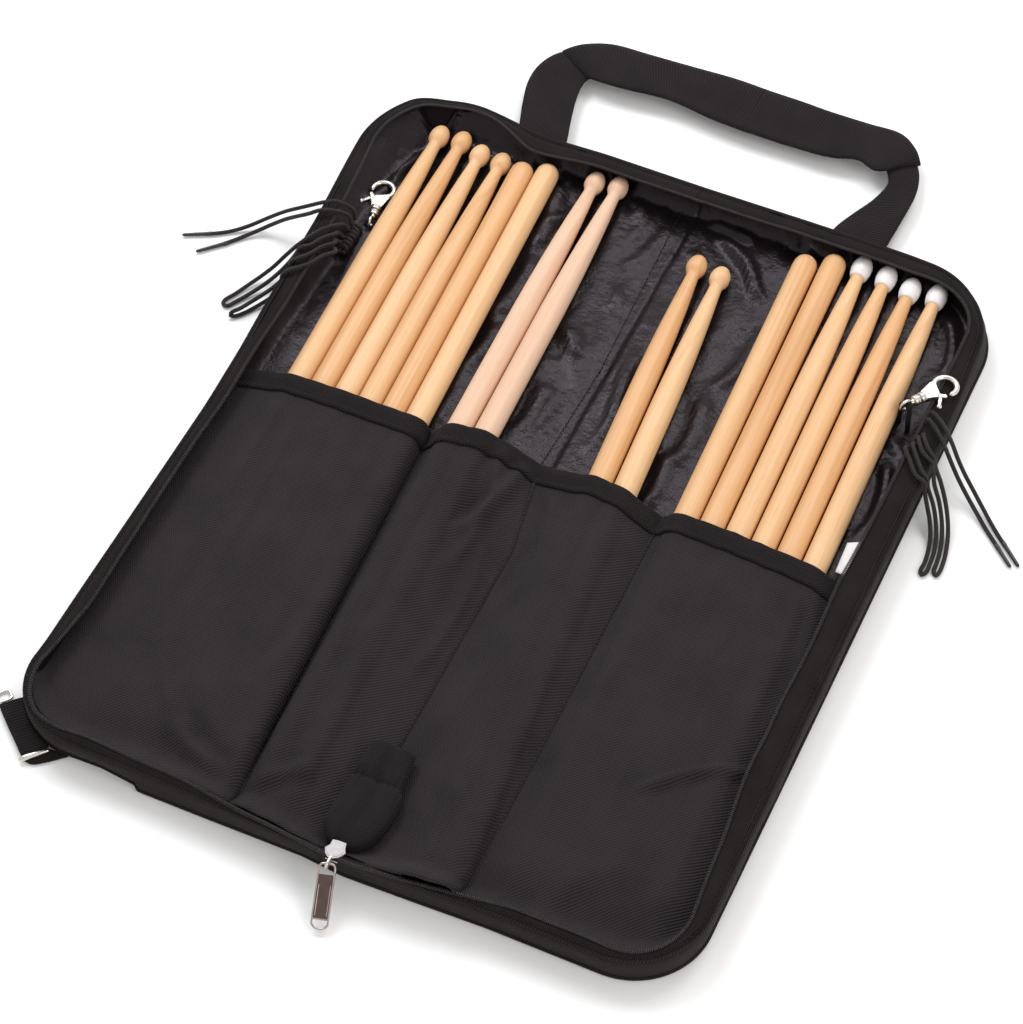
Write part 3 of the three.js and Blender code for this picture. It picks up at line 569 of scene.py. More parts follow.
def run_lengths(points):
    steps = np.linalg.norm(np.diff(points, axis=-2), axis=-1)
    zero = np.zeros(steps.shape[:-1] + (1,))
    return np.concatenate([zero, np.cumsum(steps, axis=-1)], axis=-1)


def grid_parts(points, closed=False, capped=False, plan_uv=False):
    """Vertices, faces and uvs of rows of points. closed joins each row's ends; capped fills both ends."""
    points = np.asarray(points, float)
    rows, columns = points.shape[:2]
    ring = np.concatenate([points, points[:, :1]], axis=1) if closed else points
    if plan_uv:
        u, v = ring[..., 0], ring[..., 1]
    else:
        u = run_lengths(ring)
        down = run_lengths(np.swapaxes(points, 0, 1)).mean(axis=0)
        v = np.repeat(down[:, None], ring.shape[1], axis=1)
    faces, uvs = [], []
    for r in range(rows - 1):
        for c in range(ring.shape[1] - 1):
            d = (c + 1) % columns
            faces.append((r * columns + c, r * columns + d, (r + 1) * columns + d, (r + 1) * columns + c))
            corners = ((r, c), (r, c + 1), (r + 1, c + 1), (r + 1, c))
            uvs.append([(u[i], v[i]) for i in corners])
    if capped:
        first = tuple(range(columns))[::-1]
        last = tuple((rows - 1) * columns + c for c in range(columns))
        for face in (first, last):
            faces.append(face)
            uvs.append([(0.0, 0.0)] * columns)
    return points.reshape(-1, 3), faces, uvs


def grid_object(name, points, material, **shape):
    return new_object(name, *grid_parts(points, **shape), material)


def joined_object(name, parts, material, smooth=True):
    """One object from several (vertices, faces, uvs)."""
    vertices, faces, uvs = [], [], []
    for part_vertices, part_faces, part_uvs in parts:
        start = len(vertices)
        vertices.extend(part_vertices)
        faces.extend(tuple(start + i for i in face) for face in part_faces)
        uvs.extend(part_uvs)
    return new_object(name, vertices, faces, uvs, material, smooth)


def thicken(piece, thickness, offset=-1.0):
    """Gives a sheet its thickness, in mm. offset -1 grows it against its normals."""
    solid = piece.modifiers.new("thickness", "SOLIDIFY")
    solid.thickness = thickness * MM
    solid.offset = offset
    return piece


def bevelled(piece, width, segments=2, angle=35.0):
    bevel = piece.modifiers.new("bevel", "BEVEL")
    bevel.width = width * MM
    bevel.segments = segments
    bevel.limit_method = "ANGLE"
    bevel.angle_limit = math.radians(angle)
    weighted = piece.modifiers.new("normals", "WEIGHTED_NORMAL")
    weighted.keep_sharp = True
    return piece


def resampled(points, count):
    """count points, evenly spaced, on a smooth curve through the given ones."""
    points = np.asarray(points, float)
    if len(points) > 2:
        points = smooth_curve(points)
    lengths = run_lengths(points)
    places = np.linspace(0, lengths[-1], count)
    return np.stack([np.interp(places, lengths, axis) for axis in points.T], axis=-1)


def between(p, q, start, stop, t):
    """The point at t on the line that is at p at start and at q at stop."""
    return ((stop - t) * p + (t - start) * q) / (stop - start)


def smooth_curve(points, per_span=10):
    """A centripetal Catmull-Rom curve through the points."""
    padded = np.concatenate([[2 * points[0] - points[1]], points, [2 * points[-1] - points[-2]]])
    made = []
    for a, b, c, d in zip(padded, padded[1:], padded[2:], padded[3:]):
        knots = [0.0]
        for p, q in ((a, b), (b, c), (c, d)):
            knots.append(knots[-1] + max(np.linalg.norm(q - p) ** 0.5, 1e-6))
        for t in np.linspace(knots[1], knots[2], per_span, endpoint=False):
            first = between(a, b, knots[0], knots[1], t)
            second = between(b, c, knots[1], knots[2], t)
            third = between(c, d, knots[2], knots[3], t)
            early = between(first, second, knots[0], knots[2], t)
            late = between(second, third, knots[1], knots[3], t)
            made.append(between(early, late, knots[1], knots[2], t))
    made.append(padded[-2])
    return np.array(made)


def tube_parts(line, radius, sides=8, closed=False):
    """A tube along points, with round or blunt ends. radius is one number or one for each point."""
    line = np.asarray(line, float)
    if closed:
        line = np.concatenate([line, line[:1]])
    radii = np.broadcast_to(radius, len(line))
    tangents = np.gradient(line, axis=0)
    if closed:
        tangents[0] = tangents[-1] = line[1] - line[-2]
    tangents /= np.linalg.norm(tangents, axis=1)[:, None]
    start = np.array([0.0, 0.0, 1.0]) if abs(tangents[0][2]) < 0.9 else np.array([1.0, 0.0, 0.0])
    angles = np.arange(sides) * 2 * math.pi / sides
    rows, side = [], np.cross(tangents[0], start)
    for place, tangent, r in zip(line, tangents, radii):
        side = side - tangent * side.dot(tangent)
        side = side / np.linalg.norm(side)
        other = np.cross(tangent, side)
        rows.append(place + r * (np.cos(angles)[:, None] * side + np.sin(angles)[:, None] * other))
    return grid_parts(rows, closed=True, capped=not closed)


def lathe_parts(profile, sides=40, place=None):
    """Revolves (distance along, radius) about Y. place is a 4x4 matrix in mm."""
    angles = np.arange(sides) * 2 * math.pi / sides
    rows = [[(r * math.cos(a), y, -r * math.sin(a)) for a in angles] for y, r in profile]
    vertices, faces, uvs = grid_parts(rows, closed=True, capped=True)
    return placed(vertices, place), faces, uvs


def placed(vertices, place):
    if place is None:
        return vertices
    turn = np.array(place)
    return np.asarray(vertices) @ turn[:3, :3].T + turn[:3, 3]


def plate_parts(outline, low, high, place=None):
    """A flat plate from a plan outline, anticlockwise, between two heights."""
    count = len(outline)
    vertices = np.array([(x, y, z) for z in (low, high) for x, y in outline], float)
    faces = [tuple(range(count))[::-1], tuple(range(count, 2 * count))]
    uvs = [[outline[i] for i in faces[0]], [outline[i - count] for i in faces[1]]]
    for i in range(count):
        j = (i + 1) % count
        faces.append((i, j, count + j, count + i))
        uvs.append([outline[i], outline[j], outline[j], outline[i]])
    return placed(vertices, place), faces, uvs


def wave_noise(x, y, size, salt=0.0):
    """Smooth noise from about -1 to 1 over plan points, one swell about every size mm."""
    shape = np.shape(x)
    flat = zip(np.ravel(x), np.ravel(y))
    values = [noise.noise(Vector((a / size, b / size, salt)) + SEED) for a, b in flat]
    return np.array(values).reshape(shape) * 1.6


def ease(value):
    value = np.clip(value, 0.0, 1.0)
    return value * value * (3 - 2 * value)


def crease(x, y, fold):
    """Height of one fold of cloth: a ridge from a to b beside a shallower hollow on its right."""
    (ax, ay), (bx, by), width, height = fold
    dx, dy = bx - ax, by - ay
    length = math.hypot(dx, dy)
    along = ((x - ax) * dx + (y - ay) * dy) / length**2
    across = ((x - ax) * dy - (y - ay) * dx) / length
    bow = 0.06 * length * np.sin(np.clip(along, 0, 1) * math.pi)
    across = across + bow
    fade = ease(along * 4 + 0.5) * ease((1 - along) * 4 + 0.5)
    ridge = np.exp(-((across / width) ** 2))
    hollow = 0.6 * np.exp(-(((across - 1.7 * width) / (1.2 * width)) ** 2))
    return height * fade * (ridge - hollow)


def creases(x, y, folds):
    return sum(crease(x, y, fold) for fold in folds)


# ---------------------------------------------------------------- pieces and the frame

SIDES = {"left": -1, "right": 1}


def settle(piece, body=None, replaces=()):
    """Hides the CAD nodes a piece stands for and, if a body is given, hangs the piece on that body."""
    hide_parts(*replaces)
    if body:
        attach(piece, body)
    return piece


def applied(piece):
    """Turns the piece's modifiers into mesh."""
    graph = bpy.context.evaluated_depsgraph_get()
    made = bpy.data.meshes.new_from_object(piece.evaluated_get(graph))
    piece.modifiers.clear()
    piece.data = made
    return piece


def across_fold(piece):
    """Turns a half's piece's modifiers into mesh and moves its placement into its vertices."""
    applied(piece)
    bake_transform(piece)


def outward_normals(piece):
    edit = bmesh.new()
    edit.from_mesh(piece.data)
    bmesh.ops.recalc_face_normals(edit, faces=edit.faces)
    edit.to_mesh(piece.data)
    edit.free()
    return piece


# ---------------------------------------------------------------- laces

def lace_curve(points, spacing=0.0012):
    line = smooth_curve(np.asarray(points))
    count = int(run_lengths(line)[-1] / spacing)
    return resampled(points, count)


def make_lace_knot(side, knot, material):
    """A bow's knot: seven turns of lace round two strands that lie along it."""
    centre = np.array(knot) / MM
    angles = np.linspace(0, 2 * math.pi, 28, endpoint=False)
    parts = []
    for number, along in enumerate((-7.6, -4.9, -2.3, 0.4, 3.1, 5.6, 8.2)):
        size = 2.6 * math.sqrt(1 - (along / 15) ** 2)
        tilt = 0.22 * math.sin(number * 2.4)
        line = [
            centre + (size * math.cos(a), along + 2.0 * tilt * math.cos(a) + 0.6 * math.sin(a),
                      size * math.sin(a) * 0.95)
            for a in angles
        ]
        parts.append(tube_parts(line, 1.2, 10, closed=True))
    for offset in (-1.2, 1.2):
        strand = [centre + (offset, y, 0.4 * math.sin(y / 4)) for y in np.linspace(-10.5, 10.5, 24)]
        parts.append(tube_parts(strand, 1.15, 10))
    piece = joined_object(f"{side}_knot", parts, material)
    return settle(piece, f"{side}_half", [f"{side}_lace_knot"])


def make_lace_tip(side, number, start, end, material):
    """A moulded sleeve that seals the lace's end, with a collar and a rounded nose."""
    a = np.array(start) / MM
    b = np.array((*end, start[2])) / MM
    span = np.linalg.norm(b - a)
    along = (b - a) / span
    profile = [(-2.2, 1.15), (-1.8, 1.2), (0.0, 1.2), (0.6, 1.08), (span * 0.5, 1.0),
               (span - 1.4, 0.92), (span - 0.5, 0.75), (span, 0.35)]
    line = [a + along * y for y, _ in profile]
    radii = [r for _, r in profile]
    piece = joined_object(f"{side}_tip_{number}", [tube_parts(line, radii, 16)], material)
    return settle(piece, f"{side}_half", [f"{side}_lace_tip_{number}"])


def make_laces():
    lace, sealed = lace_material(), tip_material()
    for side, route in LACES.items():
        knot = make_lace_knot(side, route["knot"], lace)
        for strand in ("end_1", "end_2", "loop_1", "loop_2"):
            line = lace_curve(route[strand])
            parts = tube_parts(line / MM, LACE_WIDTH / MM / 2, 10)
            piece = joined_object(f"{side}_{strand}", [parts], lace)
            settle(piece, f"{side}_half", [f"{side}_lace_{strand}"])
            with_pieces = [knot] if strand == "end_1" else []
            if strand.startswith("end"):
                number = strand[-1]
                tip = route[f"tip_{number}"]
                with_pieces.append(make_lace_tip(side, number, route[strand][-1], tip, sealed))


# ---------------------------------------------------------------- plan of the bag

# The rim's shape at places round each half: x, y, how far in the zip's coil lies from the wall's
# foot, and how far the top of the wall leans out. The wall sags outwards at the upper left corner.
RIM_SHAPE = {
    "left": [
        (0, -225, -6.2, 4.5), (-48, -225, -1.4, 3), (-80, -225, 1.6, 1.5), (-97, -225, 2.8, 1),
        (-126, -225, 3.9, 0.8), (-144, -224, 3.1, 0.4), (-155, -220, 1.9, 0), (-163, -214, 2.2, 0),
        (-173, -195, 5, -1.5), (-174, -180, 7.2, -2.6), (-174, -150, 10.5, -2.4),
        (-174, -93, 9, -2.4), (-174, -20, 9, -2.2), (-174, 20, 8, -0.5), (-174, 61, 7, 2.4),
        (-174, 120, 3, 5.6), (-174, 165, -2, 10), (-171, 197, -6, 12.5), (-160, 212, -7, 14),
        (-149, 220, -2, 8.5),
        (-122, 225, 0, 5), (-106, 225, 9, 1.5), (-97, 225, 14, 0), (-83, 225, 13, 0),
        (-59, 225, 9.5, 1), (0, 225, 11, 0),
    ],
    "right": [
        (0, -225, -6.2, 4.5), (14, -225, -6.7, 4.5), (35, -225, -4.3, 3.5), (60, -225, -1.2, 2),
        (91, -225, 2.8, 1), (123, -225, 3.5, 1), (150, -222, 2.4, 0.5), (163, -214, 3.5, 0),
        (173, -190, 7, 0),
        (174, -155, 9.5, 0), (174, -110, 13.4, 0), (174, -24, 13, 0), (174, 12, 13.7, 0),
        (174, 47, 12, 0), (174, 120, 11, 0), (174, 165, 10, -1.6), (170, 198, 10.5, -4.2),
        (158, 214, 11.5, -4.4), (140, 223, 12, -2.4), (118, 225, 12, -0.6), (60, 225, 11, 0),
        (0, 225, 11, 0),
    ],
}


def corner_radius(y):
    return np.where(y > 0, TOP_RADIUS, BOTTOM_RADIUS)


# How far the foot of the bottom wall is drawn in, at places along it. The step is the lap where the
# left wall's end is tucked under the bottom one.
FOOT_SHIFT = [(-165, 0.5), (-138, 2.3), (-119, 2.9), (-99.5, 0.9), (-98, -1.5), (-60, -1.3), (-12, -0.8),
              (10, -2.6), (41, -1.6), (80, 0)]


def lap(x, y):
    """The shift in Y of the bag's foot at a plan point, which fades out above the bottom wall."""
    places, shifts = zip(*FOOT_SHIFT)
    return np.interp(x, places, shifts) * ease((-190 - y) / 25) * ease((x + 170) / 15)


def rim_path(side, step=3.0):
    """Plan points and inward directions round one half, from the bottom's middle to the top's."""
    points, inward = [], []

    def straight(a, b, direction):
        count = round(math.dist(a, b) / step)
        for t in np.arange(count) / count:
            points.append((a[0] + (b[0] - a[0]) * t, a[1] + (b[1] - a[1]) * t))
            inward.append(direction)

    def arc(x, y, radius, start):
        count = round(radius * math.pi / step)
        for angle in start + np.arange(count) / count * math.pi / 2:
            points.append((x + radius * math.cos(angle), y + radius * math.sin(angle)))
            inward.append((-math.cos(angle), -math.sin(angle)))

    wide, long, high, low = HALF_WIDTH, HALF_LENGTH, TOP_RADIUS, BOTTOM_RADIUS
    straight((0, -long), (wide - low, -long), (0, 1))
    arc(wide - low, low - long, low, -math.pi / 2)
    straight((wide, low - long), (wide, long - high), (-1, 0))
    arc(wide - high, long - high, high, 0)
    straight((wide - high, long), (0, long), (0, -1))
    points.append((0, long))
    inward.append((0, -1))
    mirror = (SIDES[side], 1)
    return np.array(points) * mirror, np.array(inward) * mirror


def rim_frames(side):
    """The path with the coil's inset and the wall's lean at each of its points."""
    points, inward = rim_path(side)
    lengths = run_lengths(points)
    places, insets, leans = [], [], []
    for x, y, inset, lean in RIM_SHAPE[side]:
        places.append(lengths[np.argmin(np.hypot(points[:, 0] - x, points[:, 1] - y))])
        insets.append(inset)
        leans.append(lean)
    weights = np.hanning(9) / np.hanning(9).sum()
    inset, lean = (
        np.convolve(np.pad(np.interp(lengths, places, values), 4, "edge"), weights, "valid")
        for values in (insets, leans)
    )
    wander = 0.5 * wave_noise(points[:, 0], points[:, 1], 32.0, 5.0)
    inset = inset + wander * ease(lengths / 40) * ease((lengths[-1] - lengths) / 40)
    return points, inward, inset, lean


def rim_rows(frames, section):
    """Rows of points from a cross-section, section(coil inset, lean) -> [(inset, height)].

    The lap moves only the wall's foot: it has gone 15 mm up.
    """
    rows = []
    for point, inward, inset, lean in zip(*frames):
        rows.append([(*(point + inward * n), z) for n, z in section(inset, lean)])
    rows = np.array(rows)
    rows[..., 1] += lap(rows[..., 0], rows[..., 1]) * ease((15 - rows[..., 2]) / 13)
    return rows


def rim_line(frames, place):
    """One line round the rim: place(coil inset, lean) -> (inset, height)."""
    return rim_rows(frames, lambda inset, lean: [place(inset, lean)])[:, 0]


def wall_section(_, lean):
    lean_share = [(2.0, 0.3, 0), (1.2, 1.6, 0), (0.7, 4.5, 0.15), (0.2, 8.5, 0.4), (0.1, 12.2, 0.68),
                  (0.3, 15.2, 0.88), (0.9, 16.9, 0.98), (1.8, 17.9, 1), (3.0, 17.9, 1)]
    return [(n - share * lean, z) for n, z, share in lean_share]


def tape_section(inset, lean):
    root = 1.5 - lean
    share_height = [(0, 18.0), (0.03, 18.8), (0.1, 18.9), (0.16, 18.45), (0.3, 18.85), (0.5, 19.25),
                    (0.7, 19.4), (0.85, 19.35), (1, 19.3)]
    return [(root + (inset + 1.2 - root) * share, z) for share, z in share_height]


def make_wall(side, frames, cloth):
    rows = rim_rows(frames, wall_section)
    ripple = wave_noise(rows[..., 0] + rows[..., 2], rows[..., 1], 24.0, 2.0)
    rows[..., 2] += 0.25 * ripple * (rows[..., 2] > 3)
    rows[..., :2] -= (0.5 * ripple * np.sin(rows[..., 2] / 18 * math.pi))[..., None] * frames[1][:, None]
    wall = grid_object(f"{side}_wall", rows, cloth)
    thicken(wall, 0.9, SIDES[side])
    end_gusset = "bottom_gusset" if side == "left" else "top_gusset"
    settle(wall, None, [f"{side}_gusset", end_gusset])
    across_fold(wall)


def make_zip_tape(side, frames, cloth):
    tape = grid_object(f"{side}_zip_tape", rim_rows(frames, tape_section), cloth)
    thicken(tape, 0.7, SIDES[side])
    settle(tape, None, [f"{side}_zip"])
    across_fold(tape)


def make_piping(side, frames, cloth):
    """The piping at the wall's foot and the cord along its upper edge."""
    piping = rim_line(frames, lambda inset, lean: (1.3, 1.55))
    ridge = rim_line(frames, lambda inset, lean: (1.2 - lean, 17.55))
    for name, line, radius in (("piping", piping, 1.3), ("edge_cord", ridge, 0.85)):
        piece = joined_object(f"{side}_{name}", [tube_parts(line, radius, 10)], cloth)
        settle(piece)
        across_fold(piece)


def make_zip_stitches(side, frames, thread):
    seam = rim_line(frames, lambda inset, lean: (1.5 - lean + 0.2 * (inset + lean - 0.3), 18.75))
    piece = joined_object(f"{side}_zip_stitches", stitch_parts(seam, 3.0), thread)
    settle(piece)
    across_fold(piece)


def make_rim(side, wall_cloth, tape_cloth, coil_nylon, thread):
    frames = rim_frames(side)
    make_wall(side, frames, wall_cloth)
    make_zip_tape(side, frames, tape_cloth)
    make_piping(side, frames, wall_cloth)
    make_zip_stitches(side, frames, thread)
    make_coil(side, frames, coil_nylon)


def make_coil(side, frames, material):
    """The zip's coil: one continuous spiral of nylon, sewn along the edge of its tape."""
    line = rim_line(frames, lambda inset, lean: (inset + 1.6, CHAIN_Z - 0.15))
    turns = int(run_lengths(line)[-1] / TOOTH_PITCH)
    per_turn = 6
    centre = resampled(line, turns * per_turn + 1)
    ahead = np.gradient(centre, axis=0)
    ahead /= np.linalg.norm(ahead, axis=1)[:, None]
    across = np.cross(ahead, (0, 0, 1))
    angle = np.arange(len(centre)) * 2 * math.pi / per_turn
    spiral = centre + across * (0.9 * np.cos(angle))[:, None]
    spiral[:, 2] += 0.55 * np.sin(angle)
    piece = joined_object(f"{side}_zip_coil", [tube_parts(spiral, 0.27, 5)], material)
    settle(piece)
    across_fold(piece)


def stitch_parts(line, pitch, length=2.1, radius=0.24):
    """Short lengths of thread end to end along a line, each sunk at its ends."""
    line = np.asarray(line, float)
    total = run_lengths(line)[-1]
    count = int(total / pitch)
    centre = resampled(line, count * 4 + 1)
    parts = []
    for i in range(count):
        a, middle, b = centre[4 * i], centre[4 * i + 2], centre[4 * i + 4]
        half = (b - a) / np.linalg.norm(b - a) * length / 2
        drop = np.array((0, 0, 0.28))
        thread = [middle - half - drop, middle - half * 0.7, middle + (0, 0, 0.1), middle + half * 0.7,
                  middle + half - drop]
        parts.append(tube_parts(thread, radius, 5))
    return parts


# ---------------------------------------------------------------- lining and outer cover

def edge_distance(x, y):
    """How far a plan point lies inside the bag's outline."""
    radius = corner_radius(y)
    qx = np.abs(x) - HALF_WIDTH + radius
    qy = np.abs(y) - HALF_LENGTH + radius
    outside = np.hypot(np.maximum(qx, 0), np.maximum(qy, 0))
    return radius - outside - np.minimum(np.maximum(qx, qy), 0)


def half_width_at(y, inset):
    """The outline's half width at a distance along one half, pulled in by inset."""
    radius = corner_radius(y) - inset
    over = np.maximum(np.abs(y) - (HALF_LENGTH - inset - radius), 0)
    return HALF_WIDTH - inset - radius + np.sqrt(np.maximum(radius**2 - over**2, 0))


def below_sticks(x, y, z, gap=0.3):
    """z, kept under every stick."""
    for sticks in STICKS.values():
        for stick in sticks:
            across = np.abs(x - stick_x(stick, y))
            radius = STICK_RADIUS + 0.4
            under = STICK_Z - np.sqrt(np.maximum(radius**2 - across**2, 0)) - gap
            past = np.maximum(y - stick[2], 0)
            under = under + (across > radius) * 40 + past * 2.5
            z = np.minimum(z, np.maximum(under, FLOOR_Z - 0.2))
    return z


# Folds in the lining: x, y of each end, half width and height. The cloth is pulled between the
# walls and the stitched centre line.
LINING_FOLDS = {
    "left": [
        ((-123, 218), (-134, 192), 2.6, 2.0), ((-98, 217), (-90, 198), 3.0, 2.2),
        ((-84, 219), (-72, 206), 2.6, 2.4), ((-78, 205), (-71, 158), 6.0, 4.2),
        ((-58, 204), (-69, 176), 3.0, 2.4), ((-67, 150), (-70, 105), 5.0, 3.0),
        ((-64, 100), (-70, 62), 5.0, 3.4), ((-68, 62), (-68, 26), 4.5, 2.8),
        ((-29, 113), (-21, 97), 4.0, 4.0), ((-25, 74), (-25, 42), 4.0, 3.0),
        ((-11, 206), (-20, 168), 3.0, 2.2), ((-18, 150), (-9, 104), 4.0, 2.2),
        ((-12, 88), (-14, 44), 3.5, 2.6), ((-150, 212), (-160, 176), 3.0, 3.2),
        ((-158, 196), (-165, 150), 3.0, 2.6), ((-30, 210), (-24, 186), 3.0, 2.0),
    ],
    "right": [
        ((17, 207), (53, 172), 3.0, 3.4), ((34, 199), (47, 170), 2.4, 2.2),
        ((8, 190), (22, 150), 3.4, 2.4), ((52, 98), (55, 54), 4.0, 3.4),
        ((49, 58), (52, 22), 4.0, 4.2), ((58, 219), (72, 204), 3.0, 3.0),
        ((146, 112), (158, 101), 2.4, 2.4), ((20, 60), (9, 112), 4.5, 2.6),
        ((62, 152), (55, 108), 4.0, 2.8), ((10, 214), (34, 209), 3.0, 2.6),
        ((90, 218), (100, 196), 3.0, 2.4), ((148, 200), (158, 168), 3.0, 2.2),
        ((152, 96), (157, 52), 3.0, 2.6), ((8, 100), (12, 46), 3.5, 2.2),
    ],
}


def lining_rows(side, rows=190, columns=92):
    y = (HALF_LENGTH - LINING_INSET) * np.sin(np.linspace(-math.pi / 2, math.pi / 2, rows))[:, None]
    t = np.sin(np.linspace(0, math.pi / 2, columns))[None, :]
    x = SIDES[side] * half_width_at(y, LINING_INSET) * t
    y = np.broadcast_to(y, x.shape)
    inside = edge_distance(x, y)
    cove = np.clip((COVE_REACH - inside) / (COVE_REACH - LINING_INSET), 0, 1) ** 2.2
    swell = 1.0 * wave_noise(x, y, 52.0, 1.0) + 0.25 * wave_noise(x, y, 13.0, 4.0)
    pulls = 1.0 - 2.2 * np.abs(wave_noise(x + 0.12 * y, 0.22 * y, 15.0, 6.0))
    seam = 0.25 + 0.75 * ease(np.abs(x + 4) / 16)
    lift = np.maximum(swell + 1.2 + 0.8 * pulls + creases(x, y, LINING_FOLDS[side]), 0) * seam
    z = below_sticks(x, y, FLOOR_Z + lift + cove * (LINING_TOP - FLOOR_Z))
    return np.stack([x, y, z], axis=-1), inside


def follow_wall(side, rows, inside):
    """Pushes the lining's edge out where the wall leans out."""
    points, inward, _, lean = rim_frames(side)
    reach, rise = 14, 14
    for r, c in np.argwhere(inside < reach):
        x, y, z = rows[r, c]
        nearest = np.argmin(np.hypot(points[:, 0] - x, points[:, 1] - y))
        share = np.clip((z - FLOOR_Z) / rise, 0, 1) * ease((reach - inside[r, c]) / 10)
        rows[r, c, :2] -= inward[nearest] * lean[nearest] * share
    return rows


def make_lining(side, material):
    rows, inside = lining_rows(side)
    rows = follow_wall(side, rows, inside)
    order = rows if side == "right" else rows[:, ::-1]
    piece = grid_object(f"{side}_lining_cloth", order, material, plan_uv=True)
    thicken(piece, 0.25)
    settle(piece, None, [f"{side}_lining"])
    across_fold(piece)


def make_lining_seam(thread):
    """The stitched line that holds both linings down along the spine, above the pockets."""
    y = np.linspace(26, 216, 120)
    x = np.interp(y, (26, 95, 210), (-6.0, -4.0, -9.0))
    line = np.stack([x, y, np.full(120, FLOOR_Z + 1.1)], axis=-1)
    piece = joined_object("lining_centre_stitches", stitch_parts(line, 3.0), thread)
    settle(piece, "spine")


def make_cover(side, material):
    """The lightly padded outer face, which lies on the table and wraps half of the spine."""
    end = SIDES[side]
    low, high = 0.25, 2.5
    rows = []
    for y in (HALF_LENGTH - 0.8) * np.sin(np.linspace(-math.pi / 2, math.pi / 2, 120)):
        width = half_width_at(y, 1.2)
        across = width * np.sin(np.linspace(0, math.pi / 2, 46))
        sag = 0.25 * (wave_noise(across * end, np.full(46, y), 38.0, 7.0) + 1) \
            * ease(edge_distance(across, y) / 15)
        face = [(end * x, y + lap(end * x, y), low + s) for x, s in zip(across, sag)]
        back = [(end * x, y + lap(end * x, y), high) for x in across[::-1]]
        rows.append(face + back)
    piece = grid_object(f"{side}_cover", rows, material, closed=True, capped=True, plan_uv=True)
    outward_normals(piece)
    nodes = ["left_shell", "spine_panel"] if side == "left" else ["right_shell"]
    settle(piece, None, nodes)
    across_fold(piece)


# ---------------------------------------------------------------- pockets

# y of the pocket mouths' edge across the bag.
MOUTH_LINE = [(-174, 13.5), (-150, 15.5), (-110, 16.5), (-68, 16.5), (-61, 18.5), (-50, 20.5), (-38, 22.5),
              (-24, 24), (-6, 22.5), (12, 20), (34, 18.5), (55, 16), (68, 14.5), (100, 15), (130, 13),
              (157, 10.5), (174, 9)]


def mouth_y(x):
    places, heights = zip(*MOUTH_LINE)
    return sum(np.interp(x + shift, places, heights) for shift in (-4, -2, 0, 2, 4)) / 5


def seam_x(seam, y):
    share = (MOUTH_Y - y) / (MOUTH_Y + HALF_LENGTH)
    return seam[0] + (seam[1] - seam[0]) * np.clip(share, -0.2, 1)


def centre_x(y):
    return np.interp(y, (-30, 26), (4, -6))


# Each pocket's half of the bag, its edges' x for a y, and the cloth's height at those two edges.
POCKETS = {
    1: dict(side="left", left=lambda y: POCKET_WALL_GAP - HALF_WIDTH, right=lambda y: seam_x(SEAM_LEFT, y),
            edges=(11.0, SEAM_Z)),
    2: dict(side="left", left=lambda y: seam_x(SEAM_LEFT, y), right=centre_x, edges=(SEAM_Z, 6.5)),
    3: dict(side="right", left=centre_x, right=lambda y: seam_x(SEAM_RIGHT, y), edges=(6.5, 9.5)),
    4: dict(side="right", left=lambda y: seam_x(SEAM_RIGHT, y), right=lambda y: HALF_WIDTH - POCKET_WALL_GAP,
            edges=(9.5, 11.0)),
}

# Folds in the pockets' cloth: x, y of each end, half width and height.
POCKET_FOLDS = {
    1: [
        ((-66, -210), (-112, -172), 4.0, 1.7), ((-64, -206), (-98, -196), 4.0, 1.2),
        ((-120, 0), (-104, -90), 9.0, 0.8), ((-150, -60), (-142, -150), 8.0, 0.9),
        ((-70, -30), (-66, -150), 5.0, 0.8),
    ],
    2: [
        ((-12, 14), (-23, -34), 4.0, 2.4), ((-24, 16), (-17, -52), 4.0, 2.0),
        ((-8, -40), (-8, -120), 4.0, 1.2), ((-38, -110), (-28, -205), 6.0, 1.2),
        ((-47, -205), (-24, -190), 3.5, 1.2),
    ],
    3: [
        ((10, 4), (15, -64), 4.0, 1.6), ((22, -20), (14, -150), 6.0, 1.2),
        ((40, -170), (56, -214), 5.0, 1.0),
    ],
    4: [
        ((117, -139), (162, -106), 2.6, 1.5), ((76, 6), (78, -100), 6.0, 0.7),
        ((150, 0), (158, -80), 4.0, 1.0), ((100, -214), (128, -176), 6.0, 0.9),
    ],
}


def foot_y(x):
    """y of the pockets' lower edge: it follows the bottom corners and the wall's outward lean."""
    leaning = 5.6 * np.exp(-(((x - 16) / 62) ** 2))
    radius = BOTTOM_RADIUS - 6.0
    over = np.minimum(np.maximum(np.abs(x) - (HALF_WIDTH - BOTTOM_RADIUS), 0), radius * 0.93)
    return POCKET_FOOT - leaning + radius - np.sqrt(np.maximum(radius**2 - over**2, 0))


def taut(x, height):
    """The tight string over a row of obstacles: their upper convex hull."""
    kept = []
    for i in range(len(x)):
        while len(kept) > 1:
            a, b = kept[-2], kept[-1]
            turn = (x[b] - x[a]) * (height[i] - height[a]) - (height[b] - height[a]) * (x[i] - x[a])
            if turn < 0:
                break
            kept.pop()
        kept.append(i)
    return np.interp(x, x[kept], height[kept])


def softened(values, width, axis):
    """A running average with rounded weights, with the ends held."""
    weights = np.hanning(2 * width + 3)[1:-1]
    weights /= weights.sum()
    pad = [(0, 0), (0, 0)]
    pad[axis] = (width, width)
    wide = np.pad(values, pad, "edge")
    return np.apply_along_axis(lambda line: np.convolve(line, weights, "valid"), axis, wide)


